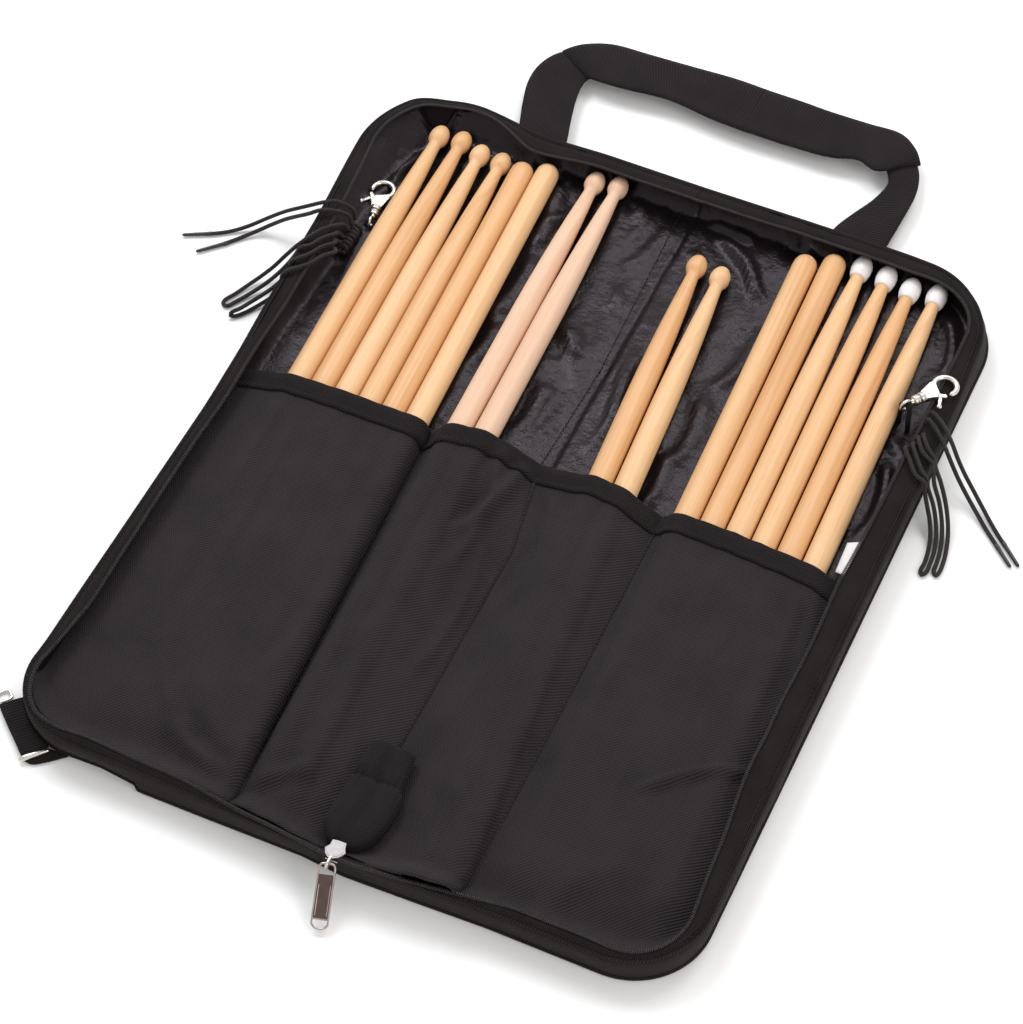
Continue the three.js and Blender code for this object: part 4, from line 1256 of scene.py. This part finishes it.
def over_sticks(number, x, y):
    """The height of cloth laid on each stick by itself, which falls away past the stick's end."""
    height = np.full(x.shape, FLOOR_Z + 0.7)
    for stick in STICKS[number]:
        across = np.abs(x - stick_x(stick, y))
        top = STICK_Z + np.sqrt(np.maximum(STICK_RADIUS**2 - across**2, 0)) + PANEL_OVER
        stick_end = stick[2] - STICK_LENGTH
        fall = 1 - 0.42 * ease((stick_end - 4 - y) / 34)
        height = np.where(across < STICK_RADIUS, np.maximum(height, top * fall), height)
    return height


def pocket_rows(number, columns=84):
    """The pocket panel's points, from the mouth down to the foot."""
    pocket = POCKETS[number]
    t = np.linspace(0, 1, columns)[None, :]
    top_x = pocket["left"](MOUTH_Y) + (pocket["right"](MOUTH_Y) - pocket["left"](MOUTH_Y)) * t
    mouth, foot = mouth_y(top_x), foot_y(top_x)
    near = np.arange(0, 12.1, 1.5)[:, None]
    far = np.linspace(0, 1, 96)[1:, None]
    start = mouth - near[-1]
    y = np.concatenate([mouth - near, start + (foot - start) * far])
    x = pocket["left"](y) + (pocket["right"](y) - pocket["left"](y)) * t
    height = over_sticks(number, x, y)
    low, high = pocket["edges"]
    height[:, 0], height[:, -1] = low, high
    pulled = np.array([taut(xs, hs) for xs, hs in zip(x, height)])
    pulled = pulled - 0.1 * (pulled - height)
    z = softened(softened(pulled, 3, 1), 4, 0)
    from_seam = np.minimum(t, 1 - t) * np.ptp(top_x)
    swell = 0.45 * wave_noise(x, y, 44.0, number) + 0.22 * wave_noise(x, y, 15.0, number + 9.0)
    z = z + ease(from_seam / 16) * swell
    z = z + FOLD_DEPTH * ease(from_seam / 7) * creases(x, y, POCKET_FOLDS[number])
    z = above_sticks(number, x, y, z)
    z[:, 0], z[:, -1] = low, high
    z = z + FOOT_RISE * ease((foot + 15 - y) / 15) ** 1.5
    return np.stack(np.broadcast_arrays(x, y, z), axis=-1)


def above_sticks(number, x, y, z):
    """z, raised where needed to clear the pocket's sticks by the cloth's thickness."""
    reach = STICK_RADIUS + 0.9
    for stick in STICKS[number]:
        across = np.abs(x - stick_x(stick, y))
        over = STICK_Z + np.sqrt(np.maximum(reach**2 - across**2, 0))
        covered = (across < reach) & (y > stick[2] - STICK_LENGTH - 1)
        z = np.where(covered, np.maximum(z, over), z)
    return z


def surface_normals(points):
    normal = np.cross(np.gradient(points, axis=1), -np.gradient(points, axis=0))
    return normal / np.linalg.norm(normal, axis=-1)[..., None]


def binding_rows(panel):
    """Tape folded over the pocket's mouth: under the edge, round it, and down the outside."""
    count = int(BINDING / 1.5) + 1
    near = panel[:count]
    normals = surface_normals(panel[: count + 1])[:count]
    inside = (near - normals * 0.75)[:4][::-1]
    outside = near + normals * 1.0
    nose = near[:1] + (0, 1.2, 0.1)
    nose_low = near[:1] - normals[:1] * 0.55 + (0, 0.8, 0)
    nose_high = near[:1] + normals[:1] * 0.8 + (0, 0.85, 0)
    tuck = near[-1:] - (0, 0.3, -0.25)
    return np.concatenate([inside, nose_low, nose, nose_high, outside, tuck])


def make_pocket(number, twill, tape, thread):
    panel = pocket_rows(number)
    cloth = grid_object(f"pocket_{number}_panel", panel[::-1], twill, plan_uv=True)
    thicken(cloth, 0.5)
    binding = grid_object(f"pocket_{number}_binding", np.swapaxes(binding_rows(panel), 0, 1)[::-1], tape)
    thicken(binding, 0.3)
    hem = panel[6] + surface_normals(panel[:8])[6] * 1.12
    stitches = joined_object(f"pocket_{number}_hem_stitches", stitch_parts(hem, 2.8), thread)
    settle(cloth, None, [f"pocket_{number}"])
    for piece in (binding, stitches):
        settle(piece)
    for piece in (cloth, binding, stitches):
        across_fold(piece)


def make_pocket_seams(twill, thread):
    """The lines where the pockets are sewn to the lining: a folded ridge with stitches along it."""
    lines = {
        "left": (lambda y: seam_x(SEAM_LEFT, y), SEAM_Z, "left", []),
        "right": (lambda y: seam_x(SEAM_RIGHT, y), 9.3, "right", []),
        "centre": (centre_x, 6.4, None, ["centre_pocket_panel"]),
    }
    for name, (x_at, height, side, nodes) in lines.items():
        y = np.linspace(POCKET_FOOT + 1, 13.0, 90)
        x = x_at(y)
        line = np.stack([x, y, height + 0.15 + 0.25 * wave_noise(x, y, 20.0, 3.0)], axis=-1)
        ridge = joined_object(f"pocket_seam_{name}", [tube_parts(line, 0.95, 10)], twill)
        stitches = joined_object(f"pocket_seam_{name}_stitches",
                                 stitch_parts(line + (0, 0, 0.95), 3.0), thread)
        body = f"{side}_half" if side else "spine"
        settle(ridge, body, nodes)
        settle(stitches, body)


# ---------------------------------------------------------------- drum sticks

# Profiles, as distance along the stick from its butt and radius there.
SHAFT = [(0.0, 0.4), (0.25, 2.6), (1.0, 4.3), (2.4, 5.5), (4.6, 6.25), (8, STICK_RADIUS),
         (60, STICK_RADIUS), (160, STICK_RADIUS), (250, STICK_RADIUS), (290, 6.48), (308, 6.25),
         (325, 5.85), (340, 5.35),
         (355, 4.7), (367, 4.05), (374, 3.62), (377.5, 3.42)]
BEAD = [(379, 3.4), (380, 3.5), (381.3, 4.2), (382.8, 4.95), (384.6, 5.35), (386.4, 5.4), (388.3, 5.15),
        (390.2, 4.55), (391.9, 3.6), (393.2, 2.3), (393.85, 1.0), (STICK_LENGTH, 0.3)]
NYLON_TIP = [(378.2, 0.6), (378.25, 3.8), (378.5, 4.15), (379.6, 4.7), (381.6, 5.2), (384, 5.55),
             (386.4, 5.5), (388.6, 5.05), (390.6, 4.25), (392.3, 3.15), (393.4, 1.9), (STICK_LENGTH, 0.4)]


def stick_place(stick):
    _, lean, top, kind = stick
    place = Matrix.Translation((stick_x(stick, top), top, STICK_Z)) @ Matrix.Rotation(math.atan(lean), 4, "Z")
    if kind == "butt":
        return place @ Matrix.Rotation(math.pi, 4, "X")
    return place @ Matrix.Translation((0, -STICK_LENGTH, 0))


def make_stick(pocket, number, stick, wood, pale, nylon):
    name = f"pocket_{pocket}_stick_{number}"
    body = f"pocket_{pocket}_sticks"
    kind = stick[3]
    profile = SHAFT + BEAD if kind != "nylon" else SHAFT + [(379.5, 3.38)]
    place = stick_place(stick)
    spin = Matrix.Rotation(number * 1.3 + pocket, 4, "Y")
    vertices, faces, uvs = lathe_parts(profile, 48, place @ spin)
    shift = (37.0 * number + 211.0 * pocket, 530.0 * number + 97.0 * pocket)
    uvs = [[(u + shift[0], v + shift[1]) for u, v in face] for face in uvs]
    finish, slot = (pale, "pale_wood") if kind == "pale" else (wood, "maple")
    shaft = joined_object(name + "_wood", [(vertices, faces, uvs)], finish)
    outward_normals(shaft)
    settle(shaft, body, [name])
    if kind == "nylon":
        tip = outward_normals(joined_object(name + "_tip", [lathe_parts(NYLON_TIP, 40, place)], nylon))
        settle(tip, body)


def make_sticks():
    wood = [
        wood_material(f"lacquered_wood_{tone}", light, dark)
        for tone, (light, dark) in enumerate((
            ((0.76, 0.45, 0.215), (0.60, 0.30, 0.115)),
            ((0.79, 0.49, 0.25), (0.64, 0.345, 0.145)),
            ((0.73, 0.41, 0.185), (0.56, 0.265, 0.095)),
        ))
    ]
    pale = wood_material("raw_wood", (0.78, 0.52, 0.36), (0.66, 0.40, 0.25), 0.6)
    nylon = nylon_tip_material()
    for pocket, sticks in STICKS.items():
        for number, stick in enumerate(sticks, 1):
            make_stick(pocket, number, stick, wood[(number * 2 + pocket) % 3], pale, nylon)


# ---------------------------------------------------------------- handle and shoulder strap

def ribbon_parts(outer, inner, height, rows, columns=13, thick=1.7):
    """A strap between two edge lines, closed all round. height is z for shares along and across."""
    a, b = resampled(outer, rows), resampled(inner, rows)
    across = np.linspace(0, 1, columns)
    made = []
    for r in range(rows):
        share = r / (rows - 1)
        line = [a[r] + (b[r] - a[r]) * t for t in across]
        edge = thick * (0.5 - 0.22 * np.abs(2 * across - 1) ** 6)
        middle = np.array([height(share, t) for t in across])
        top = [(x, y, z + e) for (x, y), z, e in zip(line, middle, edge)]
        base = [(x, y, z - e) for (x, y), z, e in zip(line, middle, edge)]
        made.append(top + base[::-1])
    return grid_parts(made, closed=True, capped=True)


# Plan lines of the handle's outer and inner edges, for each side's leg and its half of the run.
HANDLE = {
    "left": {
        "leg": (
            [(-113.2, 221.5), (-113.2, 231), (-119.5, 251), (-124, 269), (-123.4, 283), (-118, 295),
             (-106, 305)],
            [(-84.8, 221.5), (-84.8, 232), (-89.6, 250), (-93.7, 265.7), (-95.4, 277), (-94.5, 284),
             (-90, 290)],
        ),
        "run": (
            [(-116, 297.5), (-106, 305.6), (-92, 312.2), (-70, 314), (-40, 315.2), (-16, 315.7), (0, 315)],
            [(-95.6, 284.2), (-91, 282.6), (-82, 282), (-71, 282.4), (-46, 285), (-20, 282), (0, 280.3)],
        ),
    },
    "right": {
        "leg": (
            [(100.3, 221.5), (100.3, 232), (101.4, 254), (101.6, 276), (98.3, 290), (90.5, 304)],
            [(70.6, 221.5), (70.6, 233), (76, 249), (82, 263), (85, 277), (80, 288)],
        ),
        "run": (
            [(96.5, 297), (90.5, 305), (79.5, 313), (60, 313.2), (37, 313.2), (18, 314.2), (0, 315)],
            [(86.5, 289.5), (81, 283), (75.2, 280.6), (64.7, 284.4), (51, 281), (24, 280.6), (0, 280.3)],
        ),
    },
}


def make_handle(side, webbing):
    """Half of the carrying handle: a leg, and the run that is folded over its top at the corner."""
    salt = SIDES[side]

    def leg_height(share, across):
        lift = 0.9 * math.sin(share * 7 + salt) * (across - 0.5)
        return HANDLE_Z - 0.6 + lift - 0.3 * share

    def run_height(share, across):
        fold = 1 - math.exp(-share * 26)
        sag = 1.1 * math.sin(share * 5.2 + 0.6 * salt) * (across - 0.45)
        sag = sag * ease(share * 4) * ease((1 - share) * 4)
        return HANDLE_Z + 2.3 * fold * (1 - 0.55 * ease(share * 1.4)) + sag

    for name, height, rows in (("leg", leg_height, 46), ("run", run_height, 64)):
        outer, inner = HANDLE[side][name]
        ribbon = ribbon_parts(outer, inner, height, rows)
        piece = outward_normals(joined_object(f"handle_{side}_{name}", [ribbon], webbing))
        if name == "leg":
            settle(piece, f"{side}_half", [f"handle_{side}"])
        else:
            settle(piece, None, ["handle_middle"] if side == "left" else [])
            across_fold(piece)


def make_shoulder_strap(webbing, metal):
    """The strap's end at the lower left corner, folded round a metal bar."""
    upper = ([(-180, -211.5), (-171.5, -219), (-163, -226), (-155.6, -232.2)],
             [(-171.5, -202.8), (-165.4, -210.4), (-157.8, -216.7), (-146.0, -222.8)])
    lower = ([(-153.6, -233.6), (-149.6, -233.6), (-144.6, -230.4), (-136.5, -223.2)],
             [(-145.4, -222.9), (-142.6, -222.4), (-139.4, -222.2), (-136.0, -222.2)])
    parts = [
        ribbon_parts(*upper, lambda s, t: 2.6 - 0.8 * ease(1 - s * 3), 24, 9, 1.2),
        ribbon_parts(*lower, lambda s, t: 0.85 + 0.5 * ease(1 - s * 4), 18, 9, 1.1),
    ]
    strap = outward_normals(joined_object("strap_end_webbing", parts, webbing))
    settle(strap, "left_half", ["strap_webbing"])
    bar_ends = np.array([(-155.6, -234.4, 2.0), (-145.0, -223.4, 2.0)])
    bar_radii = [0.7, 1.35, 1.55, 1.6, 1.55, 1.5, 1.4, 1.3, 1.2, 1.1, 0.95, 0.6]
    bar = tube_parts(resampled(bar_ends, len(bar_radii)), bar_radii, 14)
    settle(joined_object("strap_bar", [bar], metal), "left_half")


def make_strap_ring(metal):
    """The rectangular ring of wire beside the strap's end, with rounded corners."""
    low, high = mm_box("strap_ring")
    a, b = np.array((-180.0, -211.5)), np.array((-174.6, -205.4))
    along = (b - a) / np.linalg.norm(b - a)
    away = np.array((-along[1], along[0]))
    indent, near, far = 0.8, 1.5, 7
    corners = [a + along * indent + away * near, b - along * indent + away * near,
               b - along * indent + away * far, a + along * indent + away * far]
    line = []
    for here, following in zip(corners, corners[1:] + corners[:1]):
        line += [here + (following - here) * t for t in (0.16, 0.3, 0.5, 0.7, 0.84)]
    ring = [(x, y, (low[2] + high[2]) / 2) for x, y in line]
    wire = tube_parts(ring, 0.75, 12, closed=True)
    piece = outward_normals(joined_object("strap_wire_ring", [wire], metal))
    settle(piece, "strap_end_ring", ["strap_ring"])


# ---------------------------------------------------------------- snap hooks
# Drawn like the CAD hooks: the eye's centre at the origin, the hook along +Y, its gate towards +X.

# Each hook's eye in mm, its turn in degrees, and -1 where it is mirrored.
HOOKS = {"left": ((-156.0, 136.5, 7.8), 10.0, -1), "right": ((150.2, 123.3, 21.9), -35.0, 1)}
RING_Y = 24.0  # from the eye's centre to the middle of the hook's own ring
RING_RADIUS = 5.85


def hook_place(side):
    eye, turn, mirror = HOOKS[side]
    place = Matrix.Translation(eye) @ Matrix.Rotation(math.radians(turn), 4, "Z")
    return place @ Matrix.Diagonal((mirror, 1, 1, 1))


def circle(radius, sides=28, axis="x"):
    angles = np.arange(sides) * 2 * math.pi / sides
    first, second = radius * np.cos(angles), radius * np.sin(angles)
    zero = np.zeros(sides)
    return np.stack([zero, first, second] if axis == "x" else [first, second, zero], axis=-1)


def hook_swivel_parts(place):
    ring = tube_parts(circle(2.9), 0.85, 12, closed=True)
    barrel = [(2.9, 1.2), (4.4, 1.35), (4.7, 2.3), (5.0, 2.75), (5.9, 2.85), (6.15, 2.4), (6.4, 2.4),
              (6.65, 2.85), (7.6, 2.75), (7.95, 2.3), (8.0, 1.25), (11.2, 1.2)]
    return [(placed(ring[0], place), *ring[1:]), lathe_parts(barrel, 28, place)]


def hook_body_parts(place):
    collar = [(8.35, 1.3), (8.4, 2.5), (8.8, 2.95), (9.6, 3.0), (9.85, 2.65), (10.1, 2.65), (10.35, 3.0),
              (11.1, 2.9), (11.4, 2.3), (11.5, 1.4)]
    plate = [(-2.6, 10.6), (2.6, 10.6), (3.3, 13), (4.4, 16), (2.8, 18.4), (-1.4, 19.6), (-4.6, 20.9),
             (-5.2, 18.2), (-3.9, 14.4)]
    angles = np.radians(np.linspace(-14, 242, 46))
    jaw_x, jaw_y = RING_RADIUS * np.cos(angles), RING_Y + RING_RADIUS * np.sin(angles)
    jaw = np.stack([jaw_x, jaw_y, np.zeros(46)], axis=-1)
    taper = 1.45 - 0.35 * np.exp(-np.arange(46) / 4.0)
    taper[:2] = (0.5, 0.9)
    jaw_parts = tube_parts(jaw, taper, 14)
    pin = [(-1.95, 0.5), (-1.85, 0.95), (1.85, 0.95), (1.95, 0.5)]
    upright = place @ Matrix.Translation((3.0, 17.0, 0)) @ Matrix.Rotation(math.pi / 2, 4, "X")
    return [lathe_parts(collar, 28, place), plate_parts(plate, -1.55, 1.55, place),
            (placed(jaw_parts[0], place), *jaw_parts[1:]), lathe_parts(pin, 16, upright)]


def hook_gate_parts(place):
    arm = [(1.9, 16.1), (3.4, 15.7), (5, 17.4), (6.3, 19.5), (6.5, 20.8), (5.0, 21.2), (4.0, 20), (1.9, 18)]
    nub = [(4.3, 16.7), (8.6, 13.3), (9.6, 14.5), (5.6, 18.2)]
    ball = [(-1.4, 0.2), (-1.2, 0.8), (-0.7, 1.25), (0, 1.45), (0.7, 1.25), (1.2, 0.8), (1.4, 0.2)]
    at_nub = place @ Matrix.Translation((9.3, 13.7, 0))
    return [plate_parts(arm, -0.75, 0.75, place), plate_parts(nub, -0.6, 0.6, place),
            lathe_parts(ball, 16, at_nub)]


def make_hook(side, metal, tape):
    place = hook_place(side)
    for name, parts, body in (
        ("hook_swivel", hook_swivel_parts(place), f"{side}_swivel"),
        ("hook_body", hook_body_parts(place), f"{side}_hook"),
        ("hook_gate", hook_gate_parts(place), f"{side}_gate"),
    ):
        piece = outward_normals(joined_object(f"{side}_{name}_metal", parts, metal))
        bevelled(piece, 0.35)
        settle(piece, body, [f"{side}_{name}"])
    foot = FLOOR_Z + 0.2 - HOOKS[side][0][2]
    right = [(1.7, 0.75), (2.9, -0.6), (3.3, foot * 0.4), (3.9, foot)]
    left = [(-x, z) for x, z in right[::-1]]
    loop = smooth_curve(np.array(left + right), 6)
    strap = np.array([[(x, y, z) for y in np.linspace(-1.4, 1.4, 7)] for x, z in loop])
    rows = placed(strap.reshape(-1, 3), place).reshape(strap.shape)
    holder = grid_object(f"{side}_hook_tape", rows, tape)
    thicken(holder, 0.7, 0)
    settle(holder, f"{side}_half")


# ---------------------------------------------------------------- zip slider, pull and tail

SLIDER = (6.5, -226.6)  # plan centre of the slider
PULL_HINGE = (6.5, -233.6, 18.85)
PULL_DROP = 33.5  # degrees that the pull hangs below level
PULL_TURN = 15.0  # degrees that it points towards +X

# The slider's top plate is a shield with hollow shoulders, as offsets from its middle.
SLIDER_SHIELD = [(3.2, 5.2), (-0.7, 5.1), (-3.3, 4.6), (-3.3, 1.8), (-4.7, -0.5), (-3.3, -3.2), (-0.5, -5.0),
                 (3.2, -3.1), (5.2, 0.4), (4.0, 2.5)]


def make_slider(metal, cast):
    x, y = SLIDER
    shield = [(x + dx, y + dy) for dx, dy in SLIDER_SHIELD]
    raised = [(x + dx * 0.84, y + dy * 0.84) for dx, dy in SLIDER_SHIELD]
    plates = [plate_parts(shield, 19.6, 20.6), plate_parts(raised, 20.4, 20.95)]
    top = joined_object("zip_slider_shield", plates, cast)
    settle(bevelled(outward_normals(top), 0.22), "spine")
    base = [(x - 3, y - 4.2), (x + 3, y - 4.2), (x + 4.2, y + 1), (x + 2.6, y + 4.6),
            (x - 2.6, y + 4.6), (x - 4.2, y + 1)]
    post = [(x - 1.5, y - 2), (x + 1.5, y - 2), (x + 1.5, y + 4), (x - 1.5, y + 4)]
    bail = [(x, y - 3.6, 17.5), (x, y - 7, 17.45), (x, y - 8.4, 17.6), (x, y - 8.9, 18.9), (x, y - 8.4, 20.1),
            (x, y - 7, 20.3), (x, y - 3.6, 20.2)]
    parts = [plate_parts(base, 17.1, 18.0), plate_parts(post, 17.5, 20),
             tube_parts(resampled(bail, 24), 0.75, 12)]
    piece = bevelled(outward_normals(joined_object("zip_slider_metal", parts, metal)), 0.25)
    settle(piece, "spine", ["zip_slider"])


def make_pull(metal, dark):
    """The pull tab: a frame round a sunk dark panel, a rounded slot at its foot, an eye on the bail."""
    place = Matrix.Translation(PULL_HINGE) @ Matrix.Rotation(math.radians(PULL_TURN), 4, "Z") \
        @ Matrix.Rotation(math.radians(PULL_DROP), 4, "X")

    def bar(x0, x1, y0, y1, half=0.75):
        return plate_parts([(x0, y0), (x1, y0), (x1, y1), (x0, y1)], -half, half, place)

    def wire(points, radius):
        made = tube_parts(resampled(points, 24), radius, 10)
        return (placed(made[0], place), *made[1:])

    surround = [
        bar(-4.1, -3.4, -27.4, -3.6),
        bar(3.4, 4.1, -27.4, -3.6),
        bar(-3.6, 3.6, -25.2, -24.5, 0.6),
        wire([(-3.75, -27.2, 0), (-2.4, -28.6, 0), (0, -29.2, 0), (2.4, -28.6, 0), (3.75, -27.2, 0)], 0.5),
        wire([(-3.75, -3.8, 0), (-3.6, -1.6, 0), (-2.9, -0.2, 0),
              (2.9, -0.2, 0), (3.6, -1.6, 0), (3.75, -3.8, 0)], 0.55),
        wire([(-2.7, -23.4, 0.5), (-2.7, -9.4, 0.5)], 0.28),
        wire([(2.7, -23.4, 0.5), (2.7, -9.4, 0.5)], 0.22),
    ]
    piece = outward_normals(joined_object("zip_pull_metal", surround, metal))
    settle(bevelled(piece, 0.18), "zip_pull_tab", ["zip_pull"])
    panel = joined_object("zip_pull_panel", [bar(-3.5, 3.5, -24.8, -4.8, 0.42)], dark)
    settle(bevelled(outward_normals(panel), 0.12), "zip_pull_tab")


# The zip tail's rings, from the slider up to its open cuff: y, left x, right x and top z.
TAIL_RINGS = [
    (-221.5, 0.5, 10.5, 17.0), (-218.5, -2.8, 15.2, 18.2), (-212.0, -6.6, 18.8, 18.9),
    (-205.0, -7.2, 20.6, 19.0), (-197.0, -6.8, 21.3, 19.0), (-189.0, -6.6, 21.0, 18.9),
    (-186.0, -6.4, 20.2, 18.4), (-184.0, -6.0, 18.9, 17.3), (-182.0, -6.2, 18.0, 17.9),
    (-177.0, -6.4, 17.6, 18.8), (-171.0, -5.9, 17.1, 19.0), (-164.2, -5.2, 16.5, 19.1),
]
TAIL_BASE = 9.6  # height of the tail's underside
GATHER_Y = -184.0  # where the tail is gathered


def tail_ring(y, left, right, top, inset=0.0, sides=64):
    """One ring of the tail's flattened tube, with a fold down its middle and puckers at the gather."""
    angles = np.arange(sides) * 2 * math.pi / sides
    middle, half = (left + right) / 2, (right - left) / 2 - inset
    across, rise = np.cos(angles), np.sin(angles)
    x = middle + half * np.sign(across) * np.abs(across) ** 0.62
    high, low = top - inset, TAIL_BASE + inset
    z = (high + low) / 2 + (high - low) / 2 * np.sign(rise) * np.abs(rise) ** 0.7
    upper = ease(rise * 3)
    z = z - 2.2 * upper * np.exp(-(((x - middle - 0.04 * (y + 190)) / 1.5) ** 2))
    gathered = math.exp(-(((y - GATHER_Y) / 5.5) ** 2))
    z = z + upper * (0.55 * gathered * np.sin(x * 1.9) + 0.35 * wave_noise(x, np.full(sides, y), 9.0, 3.0))
    return [(a, y, b) for a, b in zip(x, z)]


def make_tail(twill):
    """The covered end of the zip: a flattened tube of cloth, gathered below an open cuff."""
    lines = smooth_curve(np.array(TAIL_RINGS), 4)
    rows = [tail_ring(*line) for line in lines]
    y, left, right, top = lines[-1]
    rows += [tail_ring(y + 0.5, left, right, top, 0.5), tail_ring(y, left, right, top, 1.1),
             tail_ring(y - 9, left, right, top, 1.6)]
    piece = outward_normals(grid_object("zip_tail_cloth", rows, twill, closed=True, capped=True))
    settle(piece, "spine", ["zip_tail"])


def make_label(material):
    """A blank care label that stands out from the right-hand seam, above the pocket."""
    corners = [(152.5, 37.0), (159.2, 37.6), (159.0, 15.0), (153.4, 18.0)]
    (ax, ay), (bx, by), (cx, cy), (dx, dy) = corners
    rows = []
    for v in np.linspace(0, 1, 14):
        left = (ax + (dx - ax) * v, ay + (dy - ay) * v)
        right = (bx + (cx - bx) * v, by + (cy - by) * v)
        rows.append([(left[0] + (right[0] - left[0]) * u, left[1] + (right[1] - left[1]) * u,
                      12.5 + 3.6 * u + 0.8 * math.sin(v * 3) * u) for u in np.linspace(0, 1, 8)])
    piece = grid_object("care_label", rows[::-1], material)
    thicken(piece, 0.25)
    settle(piece, "right_half")


# ---------------------------------------------------------------- the scene

add_camera()
make_laces()
add_studio()

outer_cloth = herringbone_material("outer_cloth", (0.0150, 0.0105, 0.0105), 0.009, 0.0017, 0.0003, 0.82)
pocket_cloth = twill_material("pocket_cloth", (0.0165, 0.0132, 0.0150), 0.00135, 0.00028, 0.62, -1.0, 0.06)
tail_cloth = twill_material("tail_cloth", (0.0088, 0.0068, 0.0076), 0.0011, 0.0002, 0.7, 1.0, 0.04)
binding_tape = herringbone_material("binding_tape", (0.0120, 0.0090, 0.0095), 0.0052, 0.0016, 0.0004, 0.8)
zip_tape = herringbone_material("zip_tape", (0.0120, 0.0088, 0.0090), 0.0021, 0.0012, 0.0002, 0.85)
coil_nylon = zip_nylon_material()
thread = thread_material()
lining = satin_material()
strap_webbing = webbing_material()
plated = metal_material("plated_metal", (0.78, 0.735, 0.68), 0.24)

for side in SIDES:
    make_cover(side, outer_cloth)
    make_lining(side, lining)
    make_rim(side, outer_cloth, zip_tape, coil_nylon, thread)
    make_handle(side, strap_webbing)
    make_hook(side, plated, binding_tape)
for pocket in POCKETS:
    make_pocket(pocket, pocket_cloth, binding_tape, thread)
make_pocket_seams(pocket_cloth, thread)
make_lining_seam(thread)
make_sticks()
make_slider(plated, cast_material())
smoked = metal_material("smoked_metal", (0.50, 0.43, 0.40), 0.28)
dark = metal_material("dark_panel", (0.15, 0.105, 0.095), 0.4)
make_pull(smoked, dark)
make_tail(tail_cloth)
make_label(label_material())
make_shoulder_strap(strap_webbing, plated)
make_strap_ring(plated)
